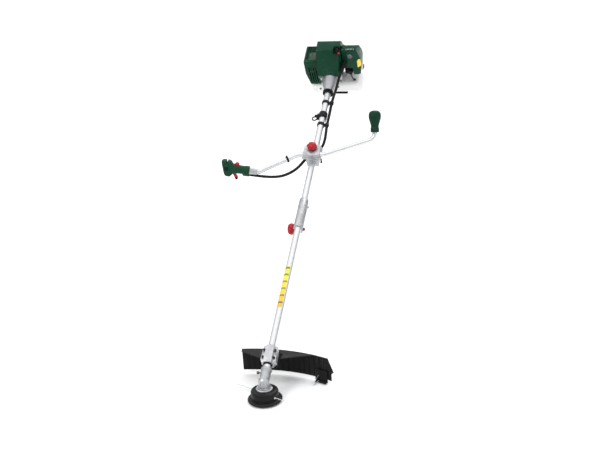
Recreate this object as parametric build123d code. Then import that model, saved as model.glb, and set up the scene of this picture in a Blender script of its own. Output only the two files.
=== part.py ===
from build123d import *
import os
from math import cos, pi, radians, sin

# Petrol string trimmer with a split shaft and a two-arm handlebar, standing as it is used:
# the line head is flat on the ground and the shaft rises towards the engine.
# World frame: origin at the centre of the head's base, +Z up along the head's spin axis,
# +Y over the ground from the head to the engine, +X to the operator's left, millimetres.
# Shaft frame: origin where the shaft axis meets the spin axis, +Y along the shaft,
# +Z square to it on its upper side, +X as in the world frame.

# driving dimensions
shaft_lean = 30.0          # degrees that the shaft rises from the ground
apex_height = 68.0         # height of the point where shaft axis and spin axis meet
tube_r = 13.0              # outer radius of both shaft tubes
tube_wall = 1.5
drive_r = 3.5              # radius of the drive shafts
fit_gap = 0.05             # radial running clearance
joint_y = 752.0            # where the lower and the upper shaft tube meet
bar_r = 10.0               # radius of the handlebar tube
bar_height = 32.0          # handlebar axis above the shaft axis
bar_y = 1034.0             # handlebar axis along the shaft
swivel_y = 1058.0          # swivel bolt along the shaft
cable_r = 6.0              # radius of the ribbed cable conduit
cable_gap = 0.3            # between the conduit's two lengths, where the handlebar swivels
flange_y = 1540.0          # face where the engine meets the clutch housing
drum_r = 47.0              # radius of the line head's drum
foot_r = 59.0              # radius of the line head's foot flange
guard_r = 512.0            # outer radius of the guard's shallow wall
guard_wall = 3.0
shell = 2.5                # wall of the engine's plastic covers

shaft = Pos(0, 0, apex_height) * Rot(shaft_lean, 0, 0)
low = (Align.CENTER, Align.CENTER, Align.MIN)
corner = (Align.MIN, Align.MIN, Align.MIN)
parts = {}


def rod_x(radius, span, y=0.0, z=0.0):
    return Pos(span[0], y, z) * Rot(0, 90, 0) * Cylinder(radius, span[1] - span[0], align=low)


def rod_y(radius, span, x=0.0, z=0.0):
    return Pos(x, span[0], z) * Rot(-90, 0, 0) * Cylinder(radius, span[1] - span[0], align=low)


def rod_z(radius, span, x=0.0, y=0.0):
    return Pos(x, y, span[0]) * Cylinder(radius, span[1] - span[0], align=low)


def ring_y(outer, inner, span, x=0.0, z=0.0):
    return rod_y(outer, span, x, z) - rod_y(inner, (span[0] - 1, span[1] + 1), x, z)


def ring_x(outer, inner, span, y=0.0, z=0.0):
    return rod_x(outer, span, y, z) - rod_x(inner, (span[0] - 1, span[1] + 1), y, z)


def cone_y(first_r, last_r, span):
    return Pos(0, span[0], 0) * Rot(-90, 0, 0) * Cone(first_r, last_r, span[1] - span[0], align=low)


def block(x, y, z, round_by=0.0):
    solid = Pos(x[0], y[0], z[0]) * Box(x[1] - x[0], y[1] - y[0], z[1] - z[0], align=corner)
    return fillet(solid.edges(), round_by) if round_by else solid


def turned(*points):
    """Solid of revolution about Z from (radius, height) corners."""
    return revolve(make_face(Plane.XZ * Polyline(*points, close=True)), Axis.Z)


def along_shaft(solid):
    """Turns a solid made about Z so that it lies about the shaft axis."""
    return Rot(-90, 0, 0) * solid


def plate_x(x, *points):
    """Flat plate from (y, z) corners, between two x values."""
    face = make_face(Plane.YZ * Polyline(*points, close=True))
    return Pos(x[0], 0, 0) * extrude(face, x[1] - x[0], dir=(1, 0, 0))


def plate_z(z, *points):
    """Flat plate from (x, y) corners, between two z values."""
    face = make_face(Polyline(*points, close=True))
    return Pos(0, 0, z[0]) * extrude(face, z[1] - z[0], dir=(0, 0, 1))


def around(angle, radius):
    """Point at an angle from +Y towards +X, about the spin axis."""
    return (radius * sin(radians(angle)), radius * cos(radians(angle)))


def sector(radii, z, angles):
    """Curved wall between two radii, two heights and two angles about the spin axis."""
    first, last = angles
    middle = (first + last) / 2
    inner, outer = radii
    edges = [
        ThreePointArc(around(first, inner), around(middle, inner), around(last, inner)),
        Line(around(last, inner), around(last, outer)),
        ThreePointArc(around(last, outer), around(middle, outer), around(first, outer)),
        Line(around(first, outer), around(first, inner)),
    ]
    return Pos(0, 0, z[0]) * extrude(make_face(edges), z[1] - z[0])


def routed(points, radius, name):
    """Round cable along straight runs joined by arcs as large as the runs allow."""
    vectors = [Vector(*p) for p in points]
    runs = [b - a for a, b in zip(vectors, vectors[1:])]
    bends = []
    for before, after in zip(runs, runs[1:]):
        half_turn = radians(before.get_angle(after)) / 2
        bends.append(0.45 * min(before.length, after.length) * cos(half_turn) / sin(half_turn))
    path = FilletPolyline(*points, radius=bends)
    solid = sweep(Plane(path @ 0, z_dir=path % 0) * Circle(radius), path=path)
    print(name, "bend radii", [round(b) for b in bends])
    print(name, "length", round(path.length), "volume ratio",
          round(solid.volume / (pi * radius ** 2 * path.length), 4))
    return solid


# line head, about the spin axis
head_top = 44.0
line_angle = -30.0
line_height = 24.0
line_reach = 132.0
spool_floor = 8.6
spring_r = 12.0
spring_wire = 0.8


def make_head():
    housing = turned((6, 30), (9.5, 30), (9.5, 40.5), (40, 40.5), (43.5, 37), (43.5, 14),
                     (drum_r, 14), (drum_r, 39), (drum_r - 5, head_top), (6, head_top))
    base = turned((33, 3), (56, 3), (foot_r, 6), (foot_r, 10), (53, 14), (43.2, 14),
                  (43.2, 19), (41, 19), (41, spool_floor - 0.6), (33, spool_floor - 0.6))
    stubs = Part()
    for turn in (0, 180):
        exit_hole = rod_x(2.6, (40, 50), z=line_height)
        housing -= Rot(0, 0, line_angle + turn) * exit_hole
        path = ThreePointArc((41, 0, line_height), (86, 4, line_height), (line_reach, 0, line_height - 6))
        stub = sweep(Plane(path @ 0, z_dir=path % 0) * Circle(1.2), path=path)
        stubs += Rot(0, 0, line_angle + turn) * stub
    parts["spool_housing"] = housing
    parts["spool_base"] = base
    parts["cutting_line"] = stubs
    parts["line_spool"] = turned((0, spool_floor), (39.5, spool_floor), (39.5, 11), (17, 11), (17, 32),
                                 (39.5, 32), (39.5, 34), (14, 34), (14, 11.6), (0, 11.6))
    parts["bump_button"] = turned((0, 0), (24, 0), (30, 2.5), (32.5, 6), (32.5, spool_floor),
                                  (0, spool_floor))
    spring_low = 11.6 + spring_wire
    spring_high = 40.5 - spring_wire
    coil = Helix(pitch=(spring_high - spring_low) / 5, height=spring_high - spring_low,
                 radius=spring_r, center=(0, 0, spring_low))
    parts["spool_spring"] = sweep(Plane(coil @ 0, z_dir=coil % 0) * Circle(spring_wire), path=coil)
    parts["head_flange"] = turned((6, head_top), (28, head_top), (28, 47), (22, 50.2), (6, 50.2))


# bevel gears: their pitch cones share the point where the two axes meet
gear_teeth = 16
pinion_teeth = 13
gear_rim = 13.0
gear_cone = 70.0           # half angle of the gear's pitch cone
pinion_cone = 50.0
mesh_gap = 0.25            # each cone is set back by this much
tooth_depth = 1.2
tooth_start = 0.55         # where the teeth begin, as a share of the pitch cone's side


def toothed(solid, teeth, rim, cone_angle):
    """Cuts tooth gaps along a cone whose apex is at the origin and which opens along +Z."""
    slope = radians(90 - cone_angle)
    groove = Box(rim * 1.2, 1.5, 2 * tooth_depth)
    groove = Rot(0, -(90 - cone_angle), 0) * Pos(rim * 0.85 / cos(slope), 0, 0) * groove
    for step in range(teeth):
        solid -= Rot(0, 0, 360 * step / teeth) * groove
    return solid


def make_gears():
    rim_drop = gear_rim * cos(radians(gear_cone)) / sin(radians(gear_cone))
    gear = turned((6, rim_drop * tooth_start), (gear_rim * tooth_start, rim_drop * tooth_start),
                  (gear_rim, rim_drop), (gear_rim, rim_drop + 1.5), (9, 9.5), (6, 9.5))
    gear = toothed(gear, gear_teeth, gear_rim, gear_cone)
    gear = Pos(0, 0, apex_height - mesh_gap) * Rot(180, 0, 0) * gear
    side = gear_rim / sin(radians(gear_cone))
    pinion_rim = side * sin(radians(pinion_cone))
    pinion_y = side * cos(radians(pinion_cone))
    pinion = turned((drive_r, pinion_y * tooth_start), (pinion_rim * tooth_start, pinion_y * tooth_start),
                    (pinion_rim, pinion_y), (pinion_rim, pinion_y + 1.5), (7, 14), (drive_r, 14))
    pinion = toothed(pinion, pinion_teeth, pinion_rim, pinion_cone)
    pinion = shaft * Pos(0, mesh_gap, 0) * along_shaft(pinion)
    parts["output_shaft"] = rod_z(6, (20, apex_height - rim_drop * tooth_start - mesh_gap)) + gear
    parts["lower_drive_shaft"] = shaft * rod_y(drive_r, (pinion_y * tooth_start, joint_y)) + pinion


# shaft tubes and the coupling that splits them
case_end = 52.0
sleeve_r = 18.0
sleeve_span = (676.0, 817.0)
knob_y = 690.0             # coupling clamp screw along the shaft
knob_z = -21.0
lock_y = 784.0
upper_end = 1484.0
drum_web_y = 1513.0
bush_places = (250.0, 500.0, 950.0, 1180.0, 1400.0)


def make_gear_case():
    case = rod_z(17, (50.8, 80)) + Pos(0, 0, 80) * Cone(17, 11, 6, align=low)
    case += rod_z(24, (50.8, 54))
    case += shaft * (rod_y(17.5, (0, case_end)) + ring_y(18.6, tube_r, (case_end - 8, case_end)))
    case -= rod_z(14, (58.2, 79)) + rod_z(12.5, (53, 59)) + rod_z(6.6, (50, 54))
    case -= shaft * (rod_y(12.5, (0, 26)) + rod_y(tube_r, (26, case_end + 1)))
    parts["gear_case"] = case - shaft * rod_x(2.5, (-24, -10), y=36)


def make_tubes():
    inner = tube_r - tube_wall
    parts["lower_tube"] = shaft * (ring_y(tube_r, inner, (26, joint_y)) - rod_x(2.5, (-24, -10), y=36))
    parts["upper_tube"] = shaft * (ring_y(tube_r, inner, (joint_y, upper_end))
                                   - rod_x(3.1, (8, 20), y=lock_y))
    parts["upper_drive_shaft"] = shaft * rod_y(drive_r, (joint_y, drum_web_y + 2.5))
    rings = shaft * ring_y(12.5, drive_r + fit_gap, (16, 24))
    rings += rod_z(12.5, (53, 58.2)) - rod_z(6 + fit_gap, (52, 59))
    for y in bush_places:
        rings += shaft * ring_y(inner, drive_r + fit_gap, (y - 12, y + 12))
    rings += shaft * ring_y(tube_r, drive_r + fit_gap, (1487, 1498))
    for y in (1548.0, 1614.0):
        rings += shaft * ring_y(14, 6 + fit_gap, (y, y + 10))
    parts["bearings"] = rings


def make_coupling():
    sleeve = rod_y(sleeve_r, sleeve_span)
    ears = block((-13, 13), (sleeve_span[0], sleeve_span[0] + 28), (knob_z - 9, 0), 3)
    body = sleeve + ears - rod_y(tube_r, (sleeve_span[0] - 1, sleeve_span[1] + 1))
    slot = block((-1.2, 1.2), (sleeve_span[0] - 1, sleeve_span[0] + 40), (knob_z - 10, -10))
    body -= slot + rod_x(3.3, (-20, 20), knob_y, knob_z) + rod_x(3.1, (10, 22), lock_y)
    housing = ring_x(6.5, 3.1, (17, 22), lock_y)
    parts["coupling_sleeve"] = shaft * (body + housing)
    knob = rod_x(19, (-44, -19), knob_y, knob_z)
    for turn in range(6):
        lobe = Rot(60 * turn, 0, 0) * Pos(0, 17, 0) * rod_x(5.5, (-44, -19))
        knob += Pos(0, knob_y, knob_z) * lobe
    knob += rod_x(6, (-19, -13.3), knob_y, knob_z) + rod_x(3, (-14, 22), knob_y, knob_z)
    knob += rod_x(6, (13.4, 21), knob_y, knob_z)
    parts["coupling_knob"] = shaft * knob
    button = rod_x(3, (11.8, 24), lock_y) + rod_x(5, (24, 27), lock_y)
    parts["lock_button"] = shaft * button


# guard with its clamp on the lower tube
clamp_span = (74.0, 139.0)
liner_r = 15.0
clamp_half = 19.0          # half height of the clamp
bolt_x = 19.0
bolt_rows = (92.0, 121.0)
guard_centre = (-33.0, -318.0)     # the wall is an arc about this point, seen from above
guard_angles = (-10.7, 25.8)
guard_z = (14.0, 95.0)
rib_step = 2.3
skirt_start = 20.0
blade_angle = 21.6


def clamp_bolts(radius, z):
    bolts = Part()
    for x in (-bolt_x, bolt_x):
        for y in bolt_rows:
            bolts += rod_z(radius, z, x, y)
    return bolts


def make_guard():
    middle = Pos(guard_centre[0], guard_centre[1], 0)
    bottom, top = guard_z
    wall = middle * sector((guard_r - guard_wall, guard_r), guard_z, guard_angles)
    outline = Polyline((-127, 167), (-49, 126), (28, 124), (81, 145), (133, 163), (200, 133), (200, 240),
                       (-160, 240), (-160, 184), close=True)
    roof = Pos(0, 0, top - guard_wall) * extrude(make_face(outline), guard_wall)
    roof = roof & middle * sector((guard_r - 110, guard_r), (top - guard_wall, top), guard_angles)
    pad = shaft * block((-27, 27), (72, 141), (-clamp_half - 6, -clamp_half))
    neck = block((-27, 27), (98, 160), (top - guard_wall, top))
    guard = wall + roof + pad + neck
    for x in (-27, 23.8):
        guard += plate_x((x, x + 3.2), (80, 86), (129, 113), (160, 95), (160, 92), (96, 80))
    rib_count = int((guard_angles[1] - guard_angles[0]) / rib_step)
    for step in range(1, rib_count + 1):
        angle = guard_angles[0] + rib_step * step
        guard += middle * sector((guard_r - guard_wall - 2, guard_r - 1), (bottom + 3, top - 2),
                                 (angle, angle + 0.15))
    last = radians(guard_angles[1])
    corner_point = (guard_centre[0] + guard_r * sin(last), guard_centre[1] + guard_r * cos(last), 0)
    inward = (-sin(last), -cos(last), 0)
    end_plane = Plane(origin=corner_point, x_dir=(cos(last), -sin(last), 0), z_dir=inward)
    end = Polyline((-4, bottom), (-4, top), (0, top), (23, 48), (13, 38), (13, bottom), close=True)
    guard += extrude(make_face(end_plane * end), guard_wall, dir=inward)
    parts["guard_shell"] = guard - shaft * clamp_bolts(2.7, (-40, 30))
    skirt_r = guard_r - guard_wall - 2.3
    skirt_end = guard_angles[1] - 0.1
    skirt = sector((skirt_r - 2.8, skirt_r), (4, 46), (skirt_start, skirt_end))
    skirt += sector((skirt_r - 14, skirt_r), (4, 7), (blade_angle + 0.4, skirt_end))
    parts["guard_skirt"] = middle * skirt
    blade_foot = skirt_r - 3
    blade_tip = skirt_r - 38
    blade = plate_x((-0.8, 0.8), (blade_foot, 26), (blade_foot, 1.5), (blade_tip, 1.5), (blade_tip, 7))
    parts["line_cutter"] = middle * Rot(0, 0, -blade_angle) * blade


def make_guard_clamp():
    outline = [(-27, clamp_span[0] + 8), (-17, clamp_span[0] - 4), (17, clamp_span[0] - 4),
               (27, clamp_span[0] + 8), (24, clamp_span[1]), (-24, clamp_span[1])]
    plan = extrude(make_face(Polyline(*outline, close=True)), clamp_half - 0.4)
    bore = rod_y(liner_r, (clamp_span[0] - 9, clamp_span[1] + 9))
    upper = Pos(0, 0, 0.4) * plan - block((-40, -14), (60, 150), (10, 30)) \
        - block((14, 40), (60, 150), (10, 30))
    lower = Pos(0, 0, -clamp_half) * plan
    parts["guard_clamp"] = shaft * ((upper + lower) - bore - clamp_bolts(2.7, (-30, 30)))
    parts["clamp_liner"] = shaft * ring_y(liner_r, tube_r, (clamp_span[0] - 8, clamp_span[1] + 3))


# handlebar: swivels on its clamp bolt for carrying
bend_right = (242.0, 1122.0, bar_height)
bend_left = (-202.0, 937.0, bar_height)
grip_axis = Vector(0, 0.67, 0.742)
handle_axis = Vector(-0.965, -0.06, 0.25).normalized()
lift = Vector(0, 0.45, 0.89)
handle_up = (lift - handle_axis * lift.dot(handle_axis)).normalized()
bar_centre = 53.0          # half length of the bar's straight middle
grip_length = 108.0


def make_handlebar():
    base = block((-24, 24), (1017, 1071), (-18, 20.5), 2.5) - rod_y(tube_r, (1000, 1090))
    base -= rod_z(4 + fit_gap, (14.6, 22), y=swivel_y)
    parts["handlebar_base"] = shaft * base
    bar_bore = rod_x(bar_r, (-50, 50), bar_y, bar_height)
    bolt_hole = rod_z(4.3, (15, 60), y=swivel_y)
    saddle = block((-38, 38), (1018, 1074), (20.8, bar_height - 0.3), 2)
    cap = block((-34, 34), (1018, 1074), (bar_height + 0.3, 45.5), 2)
    parts["handlebar_clamp"] = shaft * ((saddle + cap) - bar_bore - bolt_hole)
    knob = rod_z(16.5, (50, 64), y=swivel_y) + Pos(0, swivel_y, 64) * Cone(16.5, 11, 5, align=low)
    for turn in range(6):
        knob += Pos(0, swivel_y, 0) * Rot(0, 0, 60 * turn + 30) * rod_z(6.2, (48, 63), x=15)
    knob += rod_z(9, (45.8, 50), y=swivel_y) + rod_z(4, (15, 50), y=swivel_y)
    parts["handlebar_knob"] = shaft * knob

    right_end = Vector(*bend_right) + grip_axis * (grip_length - 4)
    left_end = Vector(*bend_left) + handle_axis * 80
    route = [tuple(left_end), bend_left, (-bar_centre, bar_y, bar_height),
             (bar_centre, bar_y, bar_height), bend_right, tuple(right_end)]
    path = FilletPolyline(*route, radius=[32, 60, 60, 32])
    section = Plane(path @ 0, z_dir=path % 0) * (Circle(bar_r) - Circle(bar_r - 1.5))
    parts["handlebar_tube"] = shaft * sweep(section, path=path)

    grip_frame = Plane(origin=bend_right, x_dir=(1, 0, 0), z_dir=tuple(grip_axis)).location
    profile = [(bar_r, 26), (16, 26), (17.5, 29), (17.5, 40), (15.5, 46), (17, 58), (22, 74),
               (24.5, 88), (24, 98), (20, 106), (11, 111.5), (0, 112.5), (0, grip_length - 4),
               (bar_r, grip_length - 4)]
    parts["left_grip"] = shaft * grip_frame * turned(*profile)


# throttle handle: frame at the left bend, +Z outwards along the handle, +X to its lock-out side
handle_frame = Plane(origin=bend_left, x_dir=tuple(handle_up), z_dir=tuple(handle_axis)).location
handle_in = 34.0
handle_out = 150.0
trigger_pivot = (-9.0, 106.0)
lockout_pivot = (17.5, 102.0)
pin_r = 1.5


def cross_pin(radius, reach, centre):
    """Round bar across the handle at an (x, z) centre."""
    return Pos(centre[0], -reach, centre[1]) * Rot(-90, 0, 0) * Cylinder(radius, 2 * reach, align=low)


def make_throttle_handle():
    grip = Pos(0, 0, handle_in) * Cylinder(19, 76, align=low)
    head = block((-33, 33), (-17, 17), (104, handle_out), 5)
    bridge = block((-18, 18), (-15.5, 15.5), (92, 114), 4)
    boss = Pos(-16.5, 0, handle_in) * Cylinder(8, 22, align=low)
    outer = grip + head + bridge + boss
    hollow_head = block((-29, 29), (-13.5, 13.5), (108, handle_out - 3))
    hollow_neck = block((-13, 13), (-12.5, 12.5), (88.5, 109))
    bore = Pos(0, 0, handle_in - 1) * Cylinder(bar_r, 49, align=low)
    finger_slot = block((-36, -6), (-4.6, 4.6), (69, 114))
    thumb_slot = block((9, 36), (-4.6, 4.6), (74, 114))
    switch_slot = block((-8, 8), (-20, -12), (120, 136))
    cable_hole = Pos(-16.5, 0, handle_in - 1) * Cylinder(cable_r, 12, align=low)
    body = outer - hollow_head - hollow_neck - bore - finger_slot - thumb_slot - switch_slot - cable_hole
    body += cross_pin(pin_r, 13.5, trigger_pivot) + cross_pin(pin_r, 8, lockout_pivot)
    front = body & block((-60, 60), (-60, -0.05), (0, 200))
    rear = body & block((-60, 60), (0.05, 60), (0, 200))
    place = shaft * handle_frame
    parts["throttle_shell_front"] = place * front
    parts["throttle_shell_rear"] = place * rear
    blade = Polyline((-6, 110), (-13, 110.5), (-24, 96), (-42, 86), (-43, 79), (-33, 76),
                     (-21, 84), (-13.5, 94), close=True)
    trigger = extrude(make_face(Plane.XZ * blade), 4, both=True)
    trigger -= cross_pin(pin_r + fit_gap, 5, trigger_pivot)
    parts["trigger"] = place * trigger
    lock = block((14.5, 27), (-4, 4), (76, 92), 2) + block((14.5, 21), (-4, 4), (88, 106), 1.5)
    parts["lockout_lever"] = place * (lock - cross_pin(pin_r + fit_gap, 5, lockout_pivot))
    parts["stop_switch"] = place * block((-5, 5), (-20, -13.2), (121, 129), 1)


# cable route: from the throttle handle, under the handlebar clamp and along the shaft to the engine
cable_start = Vector(*bend_left) + handle_axis * (handle_in + 1) - handle_up * 16.5
cable_join = (-46, 1031, -13)
bar_cable_route = [
    tuple(cable_start), tuple(cable_start - handle_axis * 34), (-178, 930, 13), (-150, 931, 10),
    (-122, 936, 7), (-97, 948, 4), (-74, 972, -2), (-54, 1006, -9), cable_join,
]
shaft_cable_route = [
    cable_join, (-37, 1059, -17.5), (-21, 1085, -25), (2, 1107, -28), (21, 1132, -21), (28, 1162, -9),
    (28, 1196, -1), (25.5, 1235, 0.5), (26.5, 1301, -0.5), (25.5, 1367, 1), (30, 1408, 6),
    (37, 1444, 15), (42, 1480, 29), (51, 1512, 44), (58, 1541, 53), (62, 1563, 57),
]
clip_places = (1235.0, 1367.0)
clip_x = 25.5
harness_span = (1276.0, 1304.0)
eye_centre = (-34.0, 1279.0)
eye_hole_r = 8.0
eye_thickness = 4.0


def make_cables():
    last_run = Vector(*bar_cable_route[-1]) - Vector(*bar_cable_route[-2])
    ending = tuple(Vector(*cable_join) - last_run.normalized() * cable_gap)
    parts["handlebar_cable"] = shaft * routed(bar_cable_route[:-1] + [ending], cable_r, "handlebar cable")
    cable = routed(shaft_cable_route, cable_r, "shaft cable")
    parts["shaft_cable"] = shaft * cable
    clips = Part()
    for y in clip_places:
        band = rod_y(tube_r + 3, (y - 6, y + 6)) + rod_y(cable_r + 3, (y - 6, y + 6), clip_x)
        band += block((10, 20), (y - 6, y + 6), (-4, 4))
        clips += band - rod_y(tube_r, (y - 7, y + 7)) - rod_y(cable_r + 1.2, (y - 7, y + 7), clip_x)
    clips += ring_y(22.5, 17.5, (1428, 1436)) + ring_y(17.5, tube_r, (1424, 1436))
    parts["cable_clips"] = shaft * (clips - cable)


def make_harness_mount():
    span = harness_span
    tab = (-eye_thickness - 2.0, -2.0)
    band = rod_y(tube_r + 5, span)
    band += block((-10, 10), span, (-24, -12)) + block((-25.2, -12), span, (-10, 2))
    slot = block((-28, -17.5), (span[0] - 1, span[1] + 1), tab)
    parts["harness_clamp"] = shaft * (band - (rod_y(tube_r, (span[0] - 1, span[1] + 1)) + slot))
    eye = block((-36, -17.5), (1279, 1301), tab) + rod_z(12.5, tab, eye_centre[0], eye_centre[1])
    eye -= rod_z(eye_hole_r, (-10, 10), eye_centre[0], eye_centre[1])
    parts["harness_eye"] = shaft * eye


# engine, in the shaft frame; the crank runs on the shaft axis and the cylinder stands on +Z
flange_r = 47.0
flange_bolt_r = 42.8
flange_bolt_angles = (18.0, 162.0, 198.0, 342.0)
cylinder_y = 1586.0
exhaust_z = 53.2           # height of the exhaust port's axis
inlet_z = 56.3             # height of the inlet port's axis
web_spans = ((1564.0, 1578.0), (1592.0, 1606.0))


def make_clutch():
    outer = cone_y(17.5, 37.5, (1436, 1510)) + rod_y(37.5, (1509, 1523)) + rod_y(flange_r, (1522, flange_y))
    for angle in range(0, 360, 45):
        rib = block((16, 38), (1450, 1523), (-1.5, 1.5)) & cone_y(19, 41, (1440, 1523))
        outer += Rot(0, angle + 22.5, 0) * rib
    inner = rod_y(tube_r, (1430, 1500)) + cone_y(14, 35, (1499.9, 1511)) + rod_y(35, (1510.9, 1541))
    parts["clutch_housing"] = shaft * (outer - inner - flange_bolts(2.6, (1520, 1541)))
    drum = rod_y(33, (drum_web_y, 1535)) - rod_y(30.8, (drum_web_y + 2.5, 1536))
    drum += rod_y(7.5, (1503, drum_web_y + 1))
    parts["clutch_drum"] = shaft * (drum - rod_y(drive_r, (1500, 1520)))
    shoes = ring_y(30.2, 18, (1517, 1533)) - block((-40, 40), (1510, 1540), (-4, 4))
    hub = ring_y(15, 6, (1519, 1530))
    for z in (14, -19):
        hub += block((-3, 3), (1519, 1530), (z, z + 5))
    parts["clutch_shoes"] = shaft * (shoes + hub)


def flange_bolts(radius, span):
    bolts = Part()
    for angle in flange_bolt_angles:
        x = flange_bolt_r * cos(radians(angle))
        z = flange_bolt_r * sin(radians(angle))
        bolts += rod_y(radius, span, x, z)
    return bolts


def make_screws():
    screws = clamp_bolts(2.6, (-clamp_half - 9, clamp_half)) + clamp_bolts(4.4, (-32, -clamp_half - 6))
    screws += clamp_bolts(4.6, (10.0, 14.5))
    screws += flange_bolts(2.5, (1521, 1539.5)) + flange_bolts(4.2, (1517.5, 1522))
    screws += rod_x(2.4, (-27, -11.6), y=36) + rod_x(5, (-31, -24), y=36)
    parts["screws"] = shaft * screws


def make_crankcase():
    case = block((-36, 36), (1546, 1626), (-44, 40), 4) + rod_y(35, (flange_y, 1547))
    case -= rod_y(27, (1562, 1608)) + rod_y(14, (1547, 1565)) + rod_y(14, (1605, 1627))
    case -= rod_y(7, (1539, 1548)) + rod_z(22, (0, 45), y=cylinder_y)
    parts["crankcase"] = shaft * case
    crank = rod_y(6, (1519, web_spans[0][0] + 1)) + rod_y(25, web_spans[0])
    crank += rod_y(25, web_spans[1]) + rod_y(6, (web_spans[1][1] - 1, 1684))
    parts["crankshaft"] = shaft * crank
    rod = block((-5, 5), (1580.5, 1589.5), (12, 80)) + rod_y(9, (1580, 1590), z=16)
    crown = rod_z(20, (68, 94), y=cylinder_y) - rod_z(17, (67, 90), y=cylinder_y)
    crown += rod_x(4, (-18.5, 18.5), cylinder_y, 76)
    parts["piston"] = shaft * (rod + crown)
    barrel = rod_z(25, (40, 104), y=cylinder_y)
    for level in range(7):
        z = 46 + 8.6 * level
        barrel += block((-36, 36), (cylinder_y - 32, cylinder_y + 32), (z, z + 2.6))
    barrel += rod_x(9, (30, 49), cylinder_y + 4, inlet_z) + rod_x(9, (-51, -30), cylinder_y, exhaust_z)
    bores = rod_z(20.2, (30, 98), y=cylinder_y) + rod_z(5, (97, 106), y=cylinder_y)
    bores += rod_x(6, (18, 60), cylinder_y + 4, inlet_z) + rod_x(6, (-60, -18), cylinder_y, exhaust_z)
    parts["cylinder"] = shaft * (barrel - bores)
    plug = rod_z(4.9, (96, 104), y=cylinder_y) + rod_z(8, (104, 110), y=cylinder_y)
    parts["spark_plug"] = shaft * (plug + rod_z(9, (110, 125), y=cylinder_y) +
                                   rod_y(5, (cylinder_y, cylinder_y + 17), z=119))


def hollow(outline, x, open_side=0):
    """Cover made from a (y, z) outline between two x values, open towards one side."""
    solid = plate_x(x, *outline)
    inner = offset(make_face(Plane.YZ * Polyline(*outline, close=True)), -shell, kind=Kind.INTERSECTION)
    first = x[0] - 1 if open_side < 0 else x[0] + shell
    last = x[1] + 1 if open_side > 0 else x[1] - shell
    return solid, Pos(first, 0, 0) * extrude(inner, last - first, dir=(1, 0, 0))


def make_covers():
    outline = [(1521, 1), (1502, 34), (1545, 124), (1551, 134), (1604, 140), (1626, 114), (1638, 60),
               (1638, 1)]
    solid, inner = hollow(outline, (-51, 50))
    inner -= plate_z((-20, 160), (31, 1470), (60, 1470), (60, 1575), (47.3, 1575))
    shroud = fillet(solid.edges().filter_by(GeomType.LINE), 5) - inner
    shroud -= plate_z((-20, 160), (34, 1470), (60, 1470), (60, 1575), (50.5, 1575))
    shroud -= block((-60, 60), (1470, 1650), (-5, 4)) + rod_y(flange_r + 0.6, (1517, 1546))
    shroud -= rod_y(40.5, (1490, 1518))
    shroud -= block((-60, 60), (1546, 1626), (0, 42)) & block((-40, 40), (1546, 1640), (0, 42))
    shroud -= rod_x(11, (44, 54), cylinder_y + 4, inlet_z) + rod_x(12, (-60, -45), cylinder_y, exhaust_z)
    shroud -= rod_y(10, (1620, 1645))
    for row in range(5):
        shroud -= block((-40, 34), (1625, 1645), (50 + 9 * row, 54 + 9 * row))
    parts["engine_shroud"] = shaft * shroud

    outline = [(1541, -47), (1541, 72), (1548, 80), (1640, 84), (1648, 74), (1648, -30), (1632, -47)]
    solid, inner = hollow(outline, (-113, -53.5), 1)
    guard = fillet(solid.edges().filter_by(GeomType.LINE), 5) - inner
    for column in range(4):
        x = -104 + 11 * column
        guard -= block((x, x + 5), (1535, 1546), (-34, 46))
    guard -= rod_y(starter_r + 1, (starter_span[0] - 1, 1650))
    parts["muffler_cover"] = shaft * guard
    muffler = block((-100, -60), (1558, 1616), (14, 72), 5) + rod_x(8, (-61, -51.5), cylinder_y, exhaust_z)
    muffler += rod_y(6, (1545.0, 1560), -82, 24)
    parts["muffler"] = shaft * muffler

    outline = [(1566, -18), (1566, 112), (1573, 120), (1596, 121), (1626, 96), (1638, 66), (1638, -18)]
    solid, inner = hollow(outline, (53, 128), -1)
    filter_cover = fillet(solid.edges().filter_by(GeomType.LINE), 6) - inner
    filter_cover -= block((50, 92), (1560, 1596), (-20, 22))
    filter_cover -= rod_y(4.3, (1560, 1575), 88, 92)
    parts["air_filter_cover"] = shaft * filter_cover
    knob = rod_y(9, (1553, 1565.7), 88, 92) + rod_y(4, (1565, 1580), 88, 92)
    for turn in range(5):
        knob += Pos(88, 0, 92) * Rot(0, 72 * turn, 0) * rod_y(3.4, (1555, 1564), 8.4)
    parts["filter_knob"] = shaft * knob
    body = block((54, 88), (1574, 1606), (-14, 78), 2) + rod_x(8, (49.5, 56), cylinder_y + 4, inlet_z)
    body += rod_y(11, (1566, 1576), 66, 0) + block((74, 86), (1562, 1575), (-12, 4), 1)
    body -= rod_y(8.3, (1560, 1574.5), 66, 0) + rod_x(5, (48, 60), cylinder_y + 4, inlet_z)
    parts["carburettor"] = shaft * body
    bulb = rod_y(8, (1562, 1572), 66, 0)
    parts["primer_bulb"] = shaft * fillet(bulb.edges().group_by(Axis.Y)[0], 5)
    lever = rod_x(9, (128.3, 133), 1604, -2) + block((128.3, 132), (1584, 1606), (-6, 2), 1)
    parts["choke_lever"] = shaft * lever


starter_r = 57.0
starter_end = 1696.0
starter_span = (1642.0, starter_end)


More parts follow.
